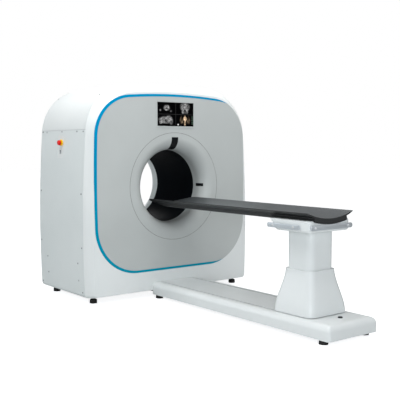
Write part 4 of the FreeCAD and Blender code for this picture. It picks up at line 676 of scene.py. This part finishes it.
pick("FACE", grip)
bpy.ops.mesh.inset(thickness=0.3 * MM, depth=0)
bpy.ops.mesh.extrude_faces_move(TRANSFORM_OT_shrink_fatten={"value": -0.9 * MM})
bpy.ops.object.mode_set(mode="OBJECT")
close_piece(knob, stop_red, "stop_head", ["estop_cap"])
print("stop button faces", len(knob.data.polygons))

# %% [markdown]
# ## Levelling feet
# Each foot is a moulded rubber puck with a rounded shoulder, screwed to a stud. The puck is drawn up from a
# cylinder by extruding and scaling its top, then the stud is drawn out of the middle of the top. One foot is
# made for the machine and one for the slab, and each is copied to its four corners.

# %% Model a foot of each kind
DRAFT, SHOULDER = 0.98, 0.82
BASE_SHARE, SIDE_SHARE, SHOULDER_SHARE = 0.30, 0.52, 0.18
STUD_R = 8 * MM


def foot(name, radius, height, top):
    """A rubber puck of a given height, with a stud that reaches up to the top."""
    bottom_of_top = BASE_SHARE * height
    bpy.ops.mesh.primitive_cylinder_add(vertices=48, radius=radius, depth=bottom_of_top,
                                        location=(0, 0, bottom_of_top / 2))
    piece = open_piece(name)
    for rise, shrink in ((SIDE_SHARE, DRAFT), (SHOULDER_SHARE, SHOULDER)):
        pick("FACE", lambda f: level(f, 2, bottom_of_top))
        bpy.ops.mesh.extrude_region_move(TRANSFORM_OT_translate={"value": (0, 0, rise * height)})
        bpy.ops.transform.resize(value=(shrink, shrink, 1))
        bottom_of_top += rise * height
    pick("FACE", lambda f: level(f, 2, bottom_of_top))
    bpy.ops.mesh.inset(thickness=radius * DRAFT * SHOULDER - STUD_R, depth=0)
    bpy.ops.mesh.extrude_region_move(TRANSFORM_OT_translate={"value": (0, 0, top - height)})
    refine("BEVEL", width=1.2 * MM, segments=3, limit_method="ANGLE", angle_limit=math.radians(30))
    return piece


machine_foot = foot("machine_foot", 28 * MM, 30 * MM, 140 * MM)
slab_foot = foot("slab_foot", 29 * MM, 23 * MM, 50 * MM)
MACHINE_FEET_X, MACHINE_FEET_Y = (-679, 679), (611, 1207)
SLAB_FEET_X, SLAB_FEET_Y = (-184, 184), (455, -1254)
corners = [(machine_foot, x, y) for x in MACHINE_FEET_X for y in MACHINE_FEET_Y]
corners += [(slab_foot, x, y) for x in SLAB_FEET_X for y in SLAB_FEET_Y]
for number, (model, x, y) in enumerate(corners):
    made = twin(model, f"levelling_foot_{number + 1}", Matrix.Translation((x * MM, y * MM, 0)))
    close_piece(made, foot_rubber, "machine", ["levelling_feet"])
bpy.data.objects.remove(machine_foot)
bpy.data.objects.remove(slab_foot)
print("feet", len(corners))

# %% [markdown]
# ## The rim of the bore and the frame of the screen
# A thin ring of black rubber lies in the joint between the flared mouth and the panel, as painted shade for
# the seam, and shows as one fine dark circle. Its round profile is spun about the bore. The screen sits in a
# slim grey frame with a rounded edge: a plane is inset, its middle is removed, and the ring that is left is
# drawn back and bevelled.

# %% Spin the dark ring for the seam's shade
AXIS = Vector((0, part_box("front_panel")[0].y, 860 * MM))
SEAM_R = 419 * MM
bpy.ops.mesh.primitive_circle_add(vertices=10, radius=1.4 * MM, location=AXIS + Vector((SEAM_R, 0.9 * MM, 0)))
seam_shade_ring = open_piece("mouth_seam_shade_ring")
bpy.ops.mesh.select_all(action="SELECT")
bpy.ops.mesh.spin(steps=180, angle=2 * math.pi, center=AXIS, axis=(0, 1, 0))
bpy.ops.mesh.select_all(action="SELECT")
bpy.ops.mesh.remove_doubles(threshold=0.01 * MM)
bpy.ops.mesh.normals_make_consistent(inside=False)
bpy.ops.object.mode_set(mode="OBJECT")
# painted shade: a black rubber ring stands in for the shade in the seam round the mouth
close_piece(seam_shade_ring, foot_rubber, "machine")

# %% Frame the screen
low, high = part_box("display_glass")
FRAME_W, FRAME_T, FRAME_OUT = 2.2 * MM, 1.8 * MM, 1.2 * MM
bpy.ops.mesh.primitive_plane_add(size=1, rotation=(math.pi / 2, 0, 0),
                                 location=((low.x + high.x) / 2, low.y - FRAME_OUT, (low.z + high.z) / 2))
bpy.context.object.scale = (high.x - low.x, high.z - low.z, 1)
border = open_piece("screen_frame")
bpy.ops.mesh.select_all(action="SELECT")
bpy.ops.mesh.inset(thickness=FRAME_W, depth=0)
bpy.ops.mesh.delete(type="ONLY_FACE")
bpy.ops.mesh.select_all(action="SELECT")
bpy.ops.mesh.extrude_region_move(TRANSFORM_OT_translate={"value": (0, FRAME_T, 0)})
bpy.ops.mesh.select_all(action="SELECT")
bpy.ops.mesh.normals_make_consistent(inside=False)
refine("BEVEL", width=0.7 * MM, segments=3, limit_method="ANGLE", angle_limit=math.radians(40))
close_piece(border, panel_paint, "machine")
print("gasket and screen frame ready")

# %% [markdown]
# ## The knob on the slab
# A low black knob closes the slab's service hole near its free end. Its rim is rounded and its top is dished.

# %% Model the knob
low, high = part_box("slab_plug")
KNOB_T = 7 * MM
middle = (low + high) / 2
bpy.ops.mesh.primitive_cylinder_add(vertices=48, radius=(high.x - low.x) / 2, depth=KNOB_T,
                                    location=(middle.x, middle.y, high.z - KNOB_T / 2))
plug = open_piece("slab_knob")
pick("EDGE", lambda e: level(e, 2, high.z))
bpy.ops.mesh.bevel(offset=2.5 * MM, segments=4, affect="EDGES")
pick("FACE", lambda f: level(f, 2, high.z))
bpy.ops.mesh.inset(thickness=3 * MM, depth=0)
bpy.ops.transform.translate(value=(0, 0, -0.8 * MM))
pick("FACE", lambda f: level(f, 2, high.z - KNOB_T))
bpy.ops.mesh.inset(thickness=2.5 * MM, depth=0)
bpy.ops.mesh.extrude_region_move(TRANSFORM_OT_translate={"value": (0, 0, -7 * MM)})
bpy.ops.object.mode_set(mode="OBJECT")
close_piece(plug, black_abs, "machine", ["slab_plug"])
print("knob faces", len(plug.data.polygons))
